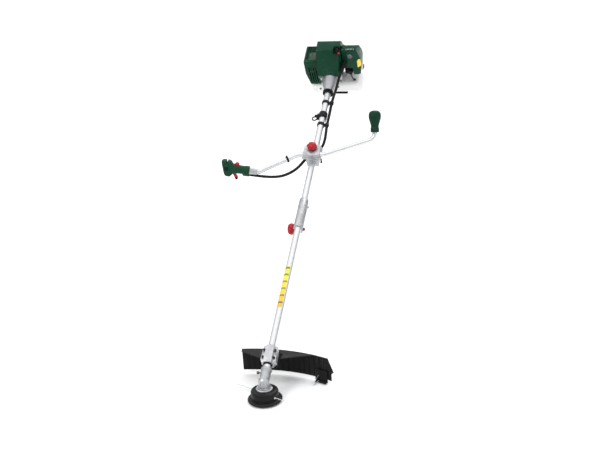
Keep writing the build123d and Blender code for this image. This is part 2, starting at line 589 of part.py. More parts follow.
def make_starter():
    housing = rod_y(starter_r, starter_span) - rod_y(starter_r - 3, (1641, starter_end - 4))
    housing -= rod_y(26, (1690, 1720))
    housing = fillet(housing.edges().filter_by(GeomType.CIRCLE).sort_by(Axis.Y)[-1], 1.2)
    housing -= rod_x(2.6, (44, 66), 1684, -28)
    for turn in range(12):
        slit = block((30, 49), (1690, 1720), (-3, 3))
        housing -= Rot(0, 30 * turn, 0) * slit
    inner_plate = ring_y(starter_r - 2, 12, (1642, 1645))
    boss = ring_y(27, 8, (starter_end - 8, starter_end - 2))
    parts["starter_housing"] = shaft * (housing + inner_plate + boss)
    fan = ring_y(18, 6, (1650, 1676)) + ring_y(51, 15, (1650, 1654))
    for turn in range(14):
        fan += Rot(0, 360 / 14 * turn, 0) * block((17, 50), (1650, 1670), (-1.2, 1.2))
    parts["flywheel_fan"] = shaft * fan
    grip = block((59, 75), (1668, 1700), (-37, -19), 4) + rod_x(2.2, (0, 60), 1684, -28)
    parts["starter_grip"] = shaft * grip


def make_tank():
    tank = block((-104, 120), (1548, 1638), (-108, -50), 20)
    tank -= block((-106, -50), (1530, 1640), (-52, -45))
    inner = block((-101.5, 117.5), (1550.5, 1635.5), (-105.5, -53.5), 17)
    neck = rod_y(15, (1630, 1642), 70, -78) - rod_y(12, (1620, 1645), 70, -78)
    parts["fuel_tank"] = shaft * (tank - inner - rod_y(12, (1620, 1645), 70, -78) + neck)
    cap = rod_y(18.5, (1639, 1655), 70, -78) - rod_y(15.06, (1638, 1642.5), 70, -78)
    for turn in range(16):
        cap += Pos(70, 0, -78) * Rot(0, 22.5 * turn, 0) * rod_y(1.6, (1641, 1654), 18.5)
    parts["fuel_cap"] = shaft * cap
    foot = block((-44, 56), (1566, 1620), (-115, -108), 3) + block((2, 54), (1552, 1600), (-114, -106.5), 2)
    parts["tank_foot"] = shaft * (foot - tank)


make_head()
make_gears()
make_gear_case()
make_tubes()
make_coupling()
make_guard()
make_guard_clamp()
make_handlebar()
make_throttle_handle()
make_cables()
make_harness_mount()
make_clutch()
make_screws()
make_crankcase()
make_covers()
make_starter()
make_tank()

os.makedirs("parts", exist_ok=True)
for name, solid in parts.items():
    export_step(solid, f"parts/{name}.step")
print(len(parts), "nodes written")
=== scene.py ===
import math

import bmesh
import bpy
from mathutils import Matrix, Vector


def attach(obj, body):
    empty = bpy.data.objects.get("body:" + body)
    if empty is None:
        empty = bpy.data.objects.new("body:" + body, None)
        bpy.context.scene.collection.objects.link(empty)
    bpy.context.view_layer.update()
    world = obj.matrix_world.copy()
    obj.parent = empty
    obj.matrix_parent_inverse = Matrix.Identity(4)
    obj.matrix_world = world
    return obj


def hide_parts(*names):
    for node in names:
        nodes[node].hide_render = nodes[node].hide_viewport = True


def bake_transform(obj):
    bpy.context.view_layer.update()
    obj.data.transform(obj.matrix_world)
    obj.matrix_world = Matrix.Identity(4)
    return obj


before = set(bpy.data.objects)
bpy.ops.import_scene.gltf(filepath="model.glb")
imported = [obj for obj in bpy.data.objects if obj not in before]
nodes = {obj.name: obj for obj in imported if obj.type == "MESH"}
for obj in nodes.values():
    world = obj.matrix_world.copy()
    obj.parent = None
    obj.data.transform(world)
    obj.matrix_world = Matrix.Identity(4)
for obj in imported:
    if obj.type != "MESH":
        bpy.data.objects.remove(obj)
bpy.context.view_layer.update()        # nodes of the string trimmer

collection = bpy.context.scene.collection
mm = 0.001

# The shaft frame: y runs up the shaft from where its axis meets the head's, z is its upper side.
rig = {"shaftLean": 30.0, "apexHeight": 68 * mm}
lean = Matrix.Rotation(math.radians(rig["shaftLean"]), 4, "X")
shaftFrame = Matrix.Translation((0, 0, rig["apexHeight"])) @ lean
headFrame = Matrix.Identity(4)


# shared shader groups: each puts out a height or a mask, and the material places it
def newGroup(name, inputs, outputs):
    group = bpy.data.node_groups.new(name, "ShaderNodeTree")
    for label, value in inputs.items():
        socket = group.interface.new_socket(name=label, in_out="INPUT", socket_type="NodeSocketFloat")
        socket.default_value = value
    for label in outputs:
        group.interface.new_socket(name=label, in_out="OUTPUT", socket_type="NodeSocketFloat")
    return group, group.nodes.new("NodeGroupInput"), group.nodes.new("NodeGroupOutput")


def place(tree, kind, links=None, **settings):
    node = tree.nodes.new(kind)
    for key, value in settings.items():
        setattr(node, key, value)
    for key, value in (links or {}).items():
        if isinstance(value, bpy.types.NodeSocket):
            tree.links.new(value, node.inputs[key])
        else:
            node.inputs[key].default_value = value
    return node


def combine(tree, operation, first, second, clamp=False):
    node = place(tree, "ShaderNodeMath", {0: first, 1: second}, operation=operation, use_clamp=clamp)
    return node.outputs[0]


def remap(tree, value, fromLow, fromHigh, toLow, toHigh):
    links = {"Value": value, "From Min": fromLow, "From Max": fromHigh, "To Min": toLow, "To Max": toHigh}
    return place(tree, "ShaderNodeMapRange", links).outputs["Result"]


def mixColour(tree, amount, first, second):
    node = place(tree, "ShaderNodeMix", {0: amount, 6: first, 7: second}, data_type="RGBA")
    return node.outputs[2]


def scaledPlace(tree, scale, stretch=(1, 1, 1)):
    # object coordinates turned into the shaft frame, stretched, then scaled
    where = place(tree, "ShaderNodeTexCoord").outputs["Object"]
    turned = place(tree, "ShaderNodeVectorRotate",
                   {"Vector": where, "Angle": -math.radians(rig["shaftLean"])},
                   rotation_type="X_AXIS")
    squeezed = place(tree, "ShaderNodeVectorMath", {0: turned.outputs[0], 1: stretch}, operation="MULTIPLY")
    return place(tree, "ShaderNodeVectorMath", {0: squeezed.outputs[0], "Scale": scale},
                 operation="SCALE").outputs[0]


def buildGroups():
    made = {}
    group, fed, out = newGroup("mouldGrain", {"Scale": 1200.0}, ["Height", "Mottle"])
    where = scaledPlace(group, fed.outputs["Scale"])
    cells = place(group, "ShaderNodeTexVoronoi", {"Vector": where, "Scale": 1.0}, feature="SMOOTH_F1")
    noise = place(group, "ShaderNodeTexNoise", {"Vector": where, "Scale": 0.6, "Detail": 3.0})
    group.links.new(combine(group, "MULTIPLY", cells.outputs["Distance"], noise.outputs["Fac"]),
                    out.inputs["Height"])
    broad = place(group, "ShaderNodeTexNoise", {"Vector": where, "Scale": 0.02, "Detail": 5.0})
    group.links.new(broad.outputs["Fac"], out.inputs["Mottle"])
    made["mouldGrain"] = group

    group, fed, out = newGroup("castGrain", {"Scale": 500.0}, ["Height", "Mottle"])
    where = scaledPlace(group, fed.outputs["Scale"])
    pits = place(group, "ShaderNodeTexNoise",
                 {"Vector": where, "Scale": 1.0, "Detail": 7.0, "Roughness": 0.68})
    lumps = place(group, "ShaderNodeTexNoise", {"Vector": where, "Scale": 0.07, "Detail": 3.0})
    group.links.new(combine(group, "ADD", pits.outputs["Fac"], lumps.outputs["Fac"]), out.inputs["Height"])
    group.links.new(lumps.outputs["Fac"], out.inputs["Mottle"])
    made["castGrain"] = group

    group, fed, out = newGroup("drawnGrain", {"Scale": 900.0}, ["Height", "Mottle"])
    where = scaledPlace(group, fed.outputs["Scale"], (1, 0.03, 1))
    lines = place(group, "ShaderNodeTexNoise", {"Vector": where, "Scale": 1.0, "Detail": 4.0})
    group.links.new(lines.outputs["Fac"], out.inputs["Height"])
    broad = place(group, "ShaderNodeTexNoise", {"Vector": where, "Scale": 0.05, "Detail": 4.0})
    group.links.new(broad.outputs["Fac"], out.inputs["Mottle"])
    made["drawnGrain"] = group

    group, fed, out = newGroup("edgeWear", {"Amount": 0.5, "Scale": 90.0}, ["Mask"])
    where = scaledPlace(group, fed.outputs["Scale"])
    edge = place(group, "ShaderNodeNewGeometry").outputs["Pointiness"]
    sharp = remap(group, edge, 0.52, 0.6, 0.0, 1.0)
    chips = place(group, "ShaderNodeTexNoise",
                  {"Vector": where, "Scale": 1.0, "Detail": 6.0, "Roughness": 0.7})
    broken = remap(group, chips.outputs["Fac"], 0.42, 0.6, 0.0, 1.0)
    worn = combine(group, "MULTIPLY", sharp, broken)
    group.links.new(combine(group, "MULTIPLY", worn, fed.outputs["Amount"], True), out.inputs["Mask"])
    made["edgeWear"] = group

    group, fed, out = newGroup("dustFilm", {"Amount": 0.3, "Scale": 25.0}, ["Mask"])
    where = scaledPlace(group, fed.outputs["Scale"])
    normal = place(group, "ShaderNodeSeparateXYZ",
                   {0: place(group, "ShaderNodeNewGeometry").outputs["Normal"]})
    upward = remap(group, normal.outputs["Z"], 0.1, 1.0, 0.0, 1.0)
    drift = place(group, "ShaderNodeTexNoise",
                  {"Vector": where, "Scale": 1.0, "Detail": 8.0, "Roughness": 0.65})
    patchy = remap(group, drift.outputs["Fac"], 0.35, 0.75, 0.0, 1.0)
    settled = combine(group, "MULTIPLY", upward, patchy)
    group.links.new(combine(group, "MULTIPLY", settled, fed.outputs["Amount"], True), out.inputs["Mask"])
    made["dustFilm"] = group
    return made


# stage: camera, floor and soft lamps
stageLook = {
    "cameraPlace": (0.892, -2.857, 1.645),
    "cameraRight": (0.972, 0.2275, -0.060),
    "cameraBack": (0.235, -0.916, 0.326),
    "lens": 60.0,
    "sensor": 36.0,
    "floorSize": 40.0,
    "floorDrop": 0.0005,
    "floorColour": (0.93, 0.93, 0.93, 1.0),
    "skyLow": (0.2, 0.2, 0.205, 1.0),     # room brightness at the horizon, half way up and overhead
    "skyMiddle": (0.8, 0.81, 0.82, 1.0),
    "skyHigh": (1.55, 1.56, 1.58, 1.0),
    "lamps": {  # place, aim, size, power
        "keyLamp": ((-1.9, -2.0, 3.2), (0, 0.5, 0.5), 1.1, 46.0),
        "fillLamp": ((2.8, -1.4, 1.7), (0, 0.6, 0.5), 1.2, 16.0),
        "backLamp": ((0.4, 3.4, 3.0), (0, 0.7, 0.6), 1.6, 40.0),
    },
}


def buildStage():
    back = Vector(stageLook["cameraBack"]).normalized()
    right = Vector(stageLook["cameraRight"])
    right = (right - back * right.dot(back)).normalized()
    turn = Matrix((right, back.cross(right), back)).transposed()
    camera = bpy.data.objects.new("photoCamera", bpy.data.cameras.new("photoCamera"))
    camera.data.lens = stageLook["lens"]
    camera.data.sensor_width = stageLook["sensor"]
    camera.data.clip_end = 100.0
    camera.matrix_world = Matrix.Translation(stageLook["cameraPlace"]) @ turn.to_4x4()
    collection.objects.link(camera)
    bpy.context.scene.camera = camera

    world = bpy.data.worlds.new("paleRoom")
    world.use_nodes = True
    tree = world.node_tree
    direction = place(tree, "ShaderNodeTexCoord").outputs["Generated"]
    height = place(tree, "ShaderNodeSeparateXYZ", {0: direction}).outputs["Z"]
    sky = place(tree, "ShaderNodeValToRGB", {"Fac": height})
    sky.color_ramp.elements[0].color = stageLook["skyLow"]
    sky.color_ramp.elements[1].color = stageLook["skyHigh"]
    sky.color_ramp.elements.new(0.35).color = stageLook["skyMiddle"]
    tree.links.new(sky.outputs["Color"], tree.nodes["Background"].inputs["Color"])
    bpy.context.scene.world = world
    bpy.context.scene.view_settings.view_transform = "Standard"

    for name, (spot, aim, size, power) in stageLook["lamps"].items():
        lamp = bpy.data.objects.new(name, bpy.data.lights.new(name, "AREA"))
        lamp.data.shape = "DISK"
        lamp.data.size = size
        lamp.data.energy = power
        lamp.location = spot
        lamp.rotation_euler = (Vector(aim) - Vector(spot)).to_track_quat("-Z", "Y").to_euler()
        collection.objects.link(lamp)

    sheet = bmesh.new()
    bmesh.ops.create_grid(sheet, x_segments=4, y_segments=4, size=stageLook["floorSize"] / 2)
    mesh = bpy.data.meshes.new("paleFloor")
    sheet.to_mesh(mesh)
    sheet.free()
    floor = bpy.data.objects.new("paleFloor", mesh)
    floor.location.z = -stageLook["floorDrop"]
    collection.objects.link(floor)
    paper = bpy.data.materials.new("palePaper")
    paper.use_nodes = True
    shader = paper.node_tree.nodes["Principled BSDF"]
    shader.inputs["Base Color"].default_value = stageLook["floorColour"]
    shader.inputs["Roughness"].default_value = 0.85
    mesh.materials.append(paper)
    print("stage ready")


groups = buildGroups()
dustColour = (0.34, 0.31, 0.26, 1.0)


def useGroup(tree, name, **values):
    node = tree.nodes.new("ShaderNodeGroup")
    node.node_tree = groups[name]
    for key, value in values.items():
        node.inputs[key].default_value = value
    return node


def makeFinish(name, colour, roughness=0.4, spread=0.08, metallic=0.0, grain="mouldGrain", scale=1200.0,
               relief=0.02, shade=0.82, worn=None, wear=0.35, dust=0.12, coat=0.0, sheen=0.0, specular=0.5):
    # one moulded, cast, painted or plated surface; worn is the colour that shows on rubbed edges
    finish = bpy.data.materials.new(name)
    finish.use_nodes = True
    tree = finish.node_tree
    shader = tree.nodes["Principled BSDF"]
    shader.inputs["Metallic"].default_value = metallic
    shader.inputs["Coat Weight"].default_value = coat
    shader.inputs["Coat Roughness"].default_value = 0.12
    shader.inputs["Sheen Weight"].default_value = sheen
    shader.inputs["Specular IOR Level"].default_value = specular
    surface = useGroup(tree, grain, Scale=scale)
    rubbed = useGroup(tree, "edgeWear", Amount=wear)
    film = useGroup(tree, "dustFilm", Amount=dust)
    dark = tuple(part * shade for part in colour[:3]) + (1.0,)
    worn = worn or tuple(min(1.0, part * 1.6 + 0.02) for part in colour[:3]) + (1.0,)
    patch = remap(tree, surface.outputs["Mottle"], 0.35, 0.65, 0.0, 1.0)
    base = mixColour(tree, patch, dark, colour)
    base = mixColour(tree, rubbed.outputs["Mask"], base, worn)
    base = mixColour(tree, film.outputs["Mask"], base, dustColour)
    tree.links.new(base, shader.inputs["Base Color"])
    gloss = remap(tree, surface.outputs["Mottle"], 0.3, 0.7, roughness - spread, roughness + spread)
    matt = combine(tree, "MULTIPLY", film.outputs["Mask"], 0.5)
    tree.links.new(combine(tree, "ADD", gloss, matt, True), shader.inputs["Roughness"])
    bump = place(tree, "ShaderNodeBump", {"Height": surface.outputs["Height"], "Strength": 0.5,
                                          "Distance": relief * mm})
    tree.links.new(bump.outputs["Normal"], shader.inputs["Normal"])
    return finish


looks = {
    "greenGloss": makeFinish("greenGloss", (0.002, 0.04, 0.019, 1), 0.24, 0.05, relief=0.012, coat=0.05,
                             worn=(0.03, 0.13, 0.08, 1), wear=0.4, dust=0.03, specular=0.1),
    "greenMatt": makeFinish("greenMatt", (0.004, 0.046, 0.022, 1), 0.5, 0.08, relief=0.05, scale=900,
                            worn=(0.03, 0.11, 0.07, 1), dust=0.05, specular=0.15),
    "greenCap": makeFinish("greenCap", (0.006, 0.11, 0.055, 1), 0.34, 0.06, relief=0.03, scale=1000,
                           worn=(0.05, 0.22, 0.13, 1), dust=0.05, specular=0.2),
    "blackPlastic": makeFinish("blackPlastic", (0.008, 0.008, 0.0085, 1), 0.42, 0.09, relief=0.05, scale=900,
                               worn=(0.05, 0.05, 0.052, 1), dust=0.06, specular=0.12),
    "headPlastic": makeFinish("headPlastic", (0.009, 0.009, 0.0095, 1), 0.36, 0.08, relief=0.03, scale=1100,
                              worn=(0.07, 0.07, 0.07, 1), wear=0.6, dust=0.05, specular=0.12),
    "blackRubber": makeFinish("blackRubber", (0.01, 0.01, 0.01, 1), 0.62, 0.08, relief=0.06, scale=700,
                              worn=(0.05, 0.05, 0.05, 1), dust=0.05, specular=0.1),
    "conduitBlack": makeFinish("conduitBlack", (0.008, 0.008, 0.009, 1), 0.38, 0.07, relief=0.02,
                               worn=(0.05, 0.05, 0.052, 1), dust=0.05, specular=0.16),
    "redPlastic": makeFinish("redPlastic", (0.4, 0.003, 0.012, 1), 0.2, 0.05, relief=0.015, coat=0.1,
                             worn=(0.75, 0.12, 0.12, 1), dust=0.05, specular=0.25),
    "satinTube": makeFinish("satinTube", (0.7, 0.71, 0.72, 1), 0.26, 0.05, metallic=0.92, grain="drawnGrain",
                            relief=0.01, shade=0.94, worn=(0.5, 0.5, 0.5, 1), wear=0.2, dust=0.05),
    "castAluminium": makeFinish("castAluminium", (0.44, 0.45, 0.46, 1), 0.4, 0.09, metallic=0.9,
                                grain="castGrain",
                                relief=0.12, shade=0.8, worn=(0.85, 0.85, 0.86, 1), wear=0.7, dust=0.1),
    "brightSteel": makeFinish("brightSteel", (0.72, 0.72, 0.73, 1), 0.26, 0.07, metallic=1.0,
                              grain="drawnGrain",
                              relief=0.01, worn=(0.9, 0.9, 0.9, 1), dust=0.06),
    "blackSteel": makeFinish("blackSteel", (0.03, 0.03, 0.032, 1), 0.34, 0.08, metallic=0.6,
                             grain="castGrain",
                             scale=900, relief=0.03, worn=(0.3, 0.3, 0.3, 1), wear=0.6),
    "darkIron": makeFinish("darkIron", (0.045, 0.04, 0.038, 1), 0.55, 0.12, metallic=0.85, grain="castGrain",
                           relief=0.12, worn=(0.3, 0.28, 0.26, 1), wear=0.6, dust=0.08),
    "nylonLine": makeFinish("nylonLine", (0.62, 0.64, 0.62, 1), 0.3, 0.05, grain="drawnGrain", relief=0.01),
    "greenMesh": makeFinish("greenMesh", (0.02, 0.14, 0.08, 1), 0.32, 0.06, relief=0.02,
                            worn=(0.12, 0.3, 0.2, 1), wear=0.6, specular=0.25),
    "gripRubber": makeFinish("gripRubber", (0.003, 0.036, 0.017, 1), 0.46, 0.08, relief=0.05, scale=800,
                             worn=(0.03, 0.14, 0.08, 1), sheen=0.0, specular=0.12),
    "greyKnob": makeFinish("greyKnob", (0.11, 0.11, 0.115, 1), 0.36, 0.08, metallic=0.3, relief=0.02,
                           worn=(0.55, 0.55, 0.55, 1)),
    "yellowLabel": makeFinish("yellowLabel", (0.86, 0.62, 0.03, 1), 0.34, 0.06, relief=0.008, shade=0.92,
                              dust=0.08,
                              coat=0.3),
}


def makeTankFinish():
    # milky translucent polythene: light goes through it, but nothing is sharp behind it
    tank = bpy.data.materials.new("milkyTank")
    tank.use_nodes = True
    tree = tank.node_tree
    shader = tree.nodes["Principled BSDF"]
    shader.inputs["Transmission Weight"].default_value = 0.3
    shader.inputs["IOR"].default_value = 1.5
    surface = useGroup(tree, "mouldGrain", Scale=700.0)
    patch = remap(tree, surface.outputs["Mottle"], 0.35, 0.65, 0.0, 1.0)
    base = mixColour(tree, patch, (0.93, 0.935, 0.93, 1), (0.98, 0.98, 0.975, 1))
    film = useGroup(tree, "dustFilm", Amount=0.12)
    tree.links.new(mixColour(tree, film.outputs["Mask"], base, (0.7, 0.68, 0.62, 1)),
                   shader.inputs["Base Color"])
    tree.links.new(remap(tree, surface.outputs["Mottle"], 0.3, 0.7, 0.26, 0.4), shader.inputs["Roughness"])
    bump = place(tree, "ShaderNodeBump", {"Height": surface.outputs["Height"], "Strength": 0.4,
                                          "Distance": 0.03 * mm})
    tree.links.new(bump.outputs["Normal"], shader.inputs["Normal"])
    return tank


def makeTubeLabel():
    # a plain wrap that fades from yellow green at its upper end to orange, with a few dark bars and no lettering
    label = bpy.data.materials.new("tubeLabel")
    label.use_nodes = True
    tree = label.node_tree
    shader = tree.nodes["Principled BSDF"]
    along = place(tree, "ShaderNodeSeparateXYZ", {0: scaledPlace(tree, 1000.0)}).outputs["Y"]
    shift = remap(tree, along, 336.0, 519.0, 0.0, 1.0)
    ramp = place(tree, "ShaderNodeValToRGB", {"Fac": shift})
    ramp.color_ramp.elements[0].color = (0.78, 0.4, 0.03, 1)
    ramp.color_ramp.elements[1].color = (0.55, 0.6, 0.05, 1)
    ramp.color_ramp.elements.new(0.45).color = (0.8, 0.58, 0.03, 1)
    ramp.color_ramp.elements.new(0.75).color = (0.76, 0.68, 0.04, 1)
    waves = place(tree, "ShaderNodeMath", {0: along, 1: 15.5}, operation="PINGPONG").outputs[0]
    bar = combine(tree, "GREATER_THAN", waves, 11.5)
    grain = useGroup(tree, "mouldGrain", Scale=900.0)
    faded = remap(tree, grain.outputs["Mottle"], 0.3, 0.7, 0.55, 0.85)
    dark = combine(tree, "MULTIPLY", bar, faded)
    tree.links.new(mixColour(tree, dark, ramp.outputs["Color"], (0.03, 0.03, 0.03, 1)),
                   shader.inputs["Base Color"])
    tree.links.new(remap(tree, grain.outputs["Mottle"], 0.3, 0.7, 0.28, 0.42), shader.inputs["Roughness"])
    bump = place(tree, "ShaderNodeBump", {"Height": grain.outputs["Height"], "Strength": 0.3,
                                          "Distance": 0.008 * mm})
    tree.links.new(bump.outputs["Normal"], shader.inputs["Normal"])
    return label


looks["milkyTank"] = makeTankFinish()
looks["tubeLabel"] = makeTubeLabel()

cadLooks = {  # finish and the CAD nodes that keep their own shape
    "blackPlastic": ["guard_shell", "guard_skirt", "cable_clips", "harness_clamp", "harness_eye", "tank_foot",
                     "fuel_cap", "starter_housing", "starter_grip", "carburettor", "spool_spring",
                     "stop_switch",
                     "bump_button", "line_spool"],
    "headPlastic": ["spool_housing", "spool_base"],
    "blackRubber": ["primer_bulb", "clamp_liner"],
    "conduitBlack": ["handlebar_cable", "shaft_cable"],
    "greenGloss": ["engine_shroud", "muffler_cover", "air_filter_cover"],
    "greenMatt": ["left_grip", "throttle_shell_front", "throttle_shell_rear"],
    "redPlastic": ["handlebar_knob", "coupling_knob", "trigger", "lockout_lever", "choke_lever"],
    "satinTube": ["lower_tube", "upper_tube", "handlebar_tube"],
    "castAluminium": ["head_flange", "gear_case", "guard_clamp", "coupling_sleeve", "handlebar_base",
                      "handlebar_clamp", "clutch_housing", "crankcase", "cylinder", "flywheel_fan", "piston"],
    "brightSteel": ["output_shaft", "lower_drive_shaft", "upper_drive_shaft", "bearings", "line_cutter",
                    "crankshaft", "lock_button", "filter_knob"],
    "blackSteel": ["screws", "spark_plug"],
    "darkIron": ["muffler", "clutch_drum", "clutch_shoes"],
    "nylonLine": ["cutting_line"],
    "milkyTank": ["fuel_tank"],
}


def dressCadNodes():
    for look, names in cadLooks.items():
        for name in names:
            mesh = nodes[name].data
            mesh.materials.clear()
            mesh.materials.append(looks[look])
            mesh.shade_smooth()
            mesh.set_sharp_from_angle(angle=math.radians(32))
    print("CAD nodes dressed")


# mesh helpers: outlines and radii are in millimetres
def box(x, y, z):
    return prism([(x[0], y[0]), (x[1], y[0]), (x[1], y[1]), (x[0], y[1])], z[0], z[1], "z")


def prism(outline, low, high, along):
    # a closed outline pushed between two distances along one axis
    spot = {"x": lambda a, b, c: (c, a, b), "y": lambda a, b, c: (a, c, b), "z": lambda a, b,
            c: (a, b, c)}[along]
    solid = bmesh.new()
    first, last = [[solid.verts.new(Vector(spot(a, b, c)) * mm) for a, b in outline] for c in (low, high)]
    solid.faces.new(first)
    solid.faces.new(last[::-1])
    for i in range(len(outline)):
        j = (i + 1) % len(outline)
        solid.faces.new((first[i], last[i], last[j], first[j]))
    bmesh.ops.recalc_face_normals(solid, faces=solid.faces)
    return solid


def eased(points, reach, closed=True, steps=4):
    # rounds the corners of an outline, each with a short curve no longer than the sides allow
    made = []
    for i, corner in enumerate(points):
        if not closed and i in (0, len(points) - 1):
            made.append(corner)
            continue
        here = Vector(corner)
        before = Vector(points[i - 1]) - here
        after = Vector(points[(i + 1) % len(points)]) - here
        start = here + before * min(0.45, reach / before.length)
        end = here + after * min(0.45, reach / after.length)
        for step in range(steps + 1):
            t = step / steps
            made.append(tuple(start * (1 - t) ** 2 + here * 2 * t * (1 - t) + end * t * t))
    return made


def soften(solid, width, segments=3, sharp=20.0, chosen=lambda edge: True):
    edges = [e for e in solid.edges if len(e.link_faces) == 2 and chosen(e)
             and e.calc_face_angle(0) > math.radians(sharp)]
    bmesh.ops.bevel(solid, geom=edges, offset=width * mm, segments=segments, profile=0.5, affect="EDGES",
                    clamp_overlap=True)
    return solid


def bridge(solid, rings, cyclic=False):
    pairs = list(zip(rings, rings[1:]))
    if cyclic:
        pairs.append((rings[-1], rings[0]))
    for one, two in pairs:
        count = max(len(one), len(two))
        for i in range(count):
            j = (i + 1) % count
            if len(one) == 1:
                solid.faces.new((one[0], two[j], two[i]))
            elif len(two) == 1:
                solid.faces.new((one[i], one[j], two[0]))
            else:
                solid.faces.new((one[i], one[j], two[j], two[i]))


def lathe(profile, steps=72, reshape=None):
    # turns (radius, height) points about z; a profile that doesn't reach the axis closes on itself
    solid = bmesh.new()
    rings = []
    for radius, height in profile:
        if radius < 0.01:
            rings.append([solid.verts.new((0, 0, height * mm))])
            continue
        ring = []
        for step in range(steps):
            angle = 2 * math.pi * step / steps
            reach = (reshape(radius, height, angle) if reshape else radius) * mm
            ring.append(solid.verts.new((reach * math.cos(angle), reach * math.sin(angle), height * mm)))
        rings.append(ring)
    bridge(solid, rings, cyclic=len(rings[0]) > 1 and len(rings[-1]) > 1)
    bmesh.ops.recalc_face_normals(solid, faces=solid.faces)
    return solid


def loft(sections):
    # skins rings of points that have the same count, and closes both ends
    solid = bmesh.new()
    rings = [[solid.verts.new(Vector(point) * mm) for point in section] for section in sections]
    bridge(solid, rings)
    solid.faces.new(rings[0][::-1])
    solid.faces.new(rings[-1])
    bmesh.ops.recalc_face_normals(solid, faces=solid.faces)
    return solid


def joined(*parts):
    whole = bmesh.new()
    for part in parts:
        mesh = bpy.data.meshes.new("part")
        part.to_mesh(mesh)
        part.free()
        whole.from_mesh(mesh)
        bpy.data.meshes.remove(mesh)
    return whole


def carve(base, *tools):
    # takes the tools out of the base and gives what is left
    pair = []
    for part in (base, joined(*tools)):
        mesh = bpy.data.meshes.new("work")
        part.to_mesh(mesh)
        part.free()
        pair.append(bpy.data.objects.new("work", mesh))
        collection.objects.link(pair[-1])
    cut = pair[0].modifiers.new("cut", "BOOLEAN")
    cut.object = pair[1]
    cut.operation = "DIFFERENCE"
    cut.solver = "EXACT"
    cut.use_self = True
    bpy.context.view_layer.update()
    left = bmesh.new()
    left.from_object(pair[0], bpy.context.evaluated_depsgraph_get())
    for thing in pair:
        mesh = thing.data
        bpy.data.objects.remove(thing)
        bpy.data.meshes.remove(mesh)
    return left


def moved(solid, x=0.0, y=0.0, z=0.0, turn=(0, 0, 0)):
    # turns by degrees about x, then y, then z, and then shifts, in millimetres
    spin = Matrix.Identity(4)
    for angle, axis in zip(turn, "XYZ"):
        spin = Matrix.Rotation(math.radians(angle), 4, axis) @ spin
    solid.transform(Matrix.Translation(Vector((x, y, z)) * mm) @ spin)
    return solid


def rod(radius, low, high, along="z", steps=40):
    solid = lathe([(0, low), (radius, low), (radius, high), (0, high)], steps)
    return moved(solid, turn={"x": (0, 90, 0), "y": (-90, 0, 0), "z": (0, 0, 0)}[along])


def makePiece(name, solid, at, look, body, replaced=(), crease=32):
    mesh = bpy.data.meshes.new(name)
    bmesh.ops.recalc_face_normals(solid, faces=solid.faces)
    solid.transform(at)
    solid.to_mesh(mesh)
    solid.free()
    mesh.materials.append(looks[look])
    mesh.shade_smooth()
    mesh.set_sharp_from_angle(angle=math.radians(crease))
    piece = bpy.data.objects.new(name, mesh)
    collection.objects.link(piece)
    if body:
        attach(piece, body)
    if replaced:
        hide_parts(*replaced)
    return piece


# engine shroud: a deep green hood with a lit chamfer on the right and a notch for the plug boot
hood = {
    "outline": [(1521, 1), (1502, 34), (1545, 124), (1551, 134), (1604, 140), (1626, 114), (1638, 60),
                (1638, 1)],
    "inside": [(1522, 4), (1506, 34), (1548, 121), (1553, 131), (1602, 137), (1623, 113), (1635, 59),
               (1635, -8),
               (1522, -8)],
    "x": (-51, 50),
    "wall": 3,
    "corner": 7,
    "chamfer": [(32.4, 1460), (70, 1460), (70, 1582), (51.6, 1582)],
    "insideChamfer": [(29.2, 1460), (70, 1460), (70, 1582), (48.4, 1582)],
    "funnelClearance": 40.5,
    "flangeClearance": 47.6,
    "notch": ((22, 60), (1516, 1572), (113, 150)),
    "louvres": 5,
}


def buildHood():
    solid = prism(eased(hood["outline"], hood["corner"]), *hood["x"], "x")
    solid = carve(solid, prism(hood["chamfer"], -20, 160, "z"), soften(box(*hood["notch"]), 8, 4))
    soften(solid, 3.2, 4, 40)
    left, right = hood["x"]
    inside = prism(hood["inside"], left + hood["wall"], right - hood["wall"], "x")
    inside = carve(inside, prism(hood["insideChamfer"], -20, 160, "z"),
                   box((18, 60), (1500, 1576), (109, 160)))
    tools = [inside, box((-60, 60), (1470, 1650), (-8, 4)), rod(hood["funnelClearance"], 1490, 1519, "y", 72),
             rod(hood["flangeClearance"], 1517, 1546, "y", 72), rod(10, 1620, 1645, "y")]
    for row in range(hood["louvres"]):
        tools.append(soften(box((-40, 34), (1618, 1650), (50 + 9 * row, 54 + 9 * row)), 1, 2))
    solid = carve(solid, *tools)
    makePiece("engineHood", solid, shaftFrame, "greenGloss", "root", ["engine_shroud"])
    # the plug boot and a small red tag sit in the notch
    boot = lathe(eased([(0, 0), (6.5, 0), (8.5, 6), (8.5, 12), (6, 17), (6, 21), (0, 21)], 2, False), 36)
    makePiece("plugBoot", moved(boot, 35, 1556, 112, (-14, 10, 0)), shaftFrame, "blackRubber", "root")
    tag = soften(box((-4, 4), (-3, 3), (0, 9)), 1.5, 3)
    makePiece("notchTag", moved(tag, 43, 1549, 112, (10, 20, 0)), shaftFrame, "redPlastic", "root")
    # the black sheets on the notch's back wall and floor are painted shade: they darken the recess where its shadow
    # falls
    paintedShadeBack = prism(eased([(23.5, 108), (48.5, 108), (48.5, 134), (23.5, 134)], 6), 1570, 1572, "y")
    makePiece("notchPaintedShadeBack", paintedShadeBack, shaftFrame, "blackPlastic", "root")
    paintedShadeFloor = prism(eased([(23.5, 1538), (44, 1538), (48.5, 1546), (48.5, 1571), (23.5, 1571)], 4), 112.4,
                 113.6, "z")
    makePiece("notchPaintedShadeFloor", paintedShadeFloor, shaftFrame, "blackPlastic", "root")
    print("hood ready")


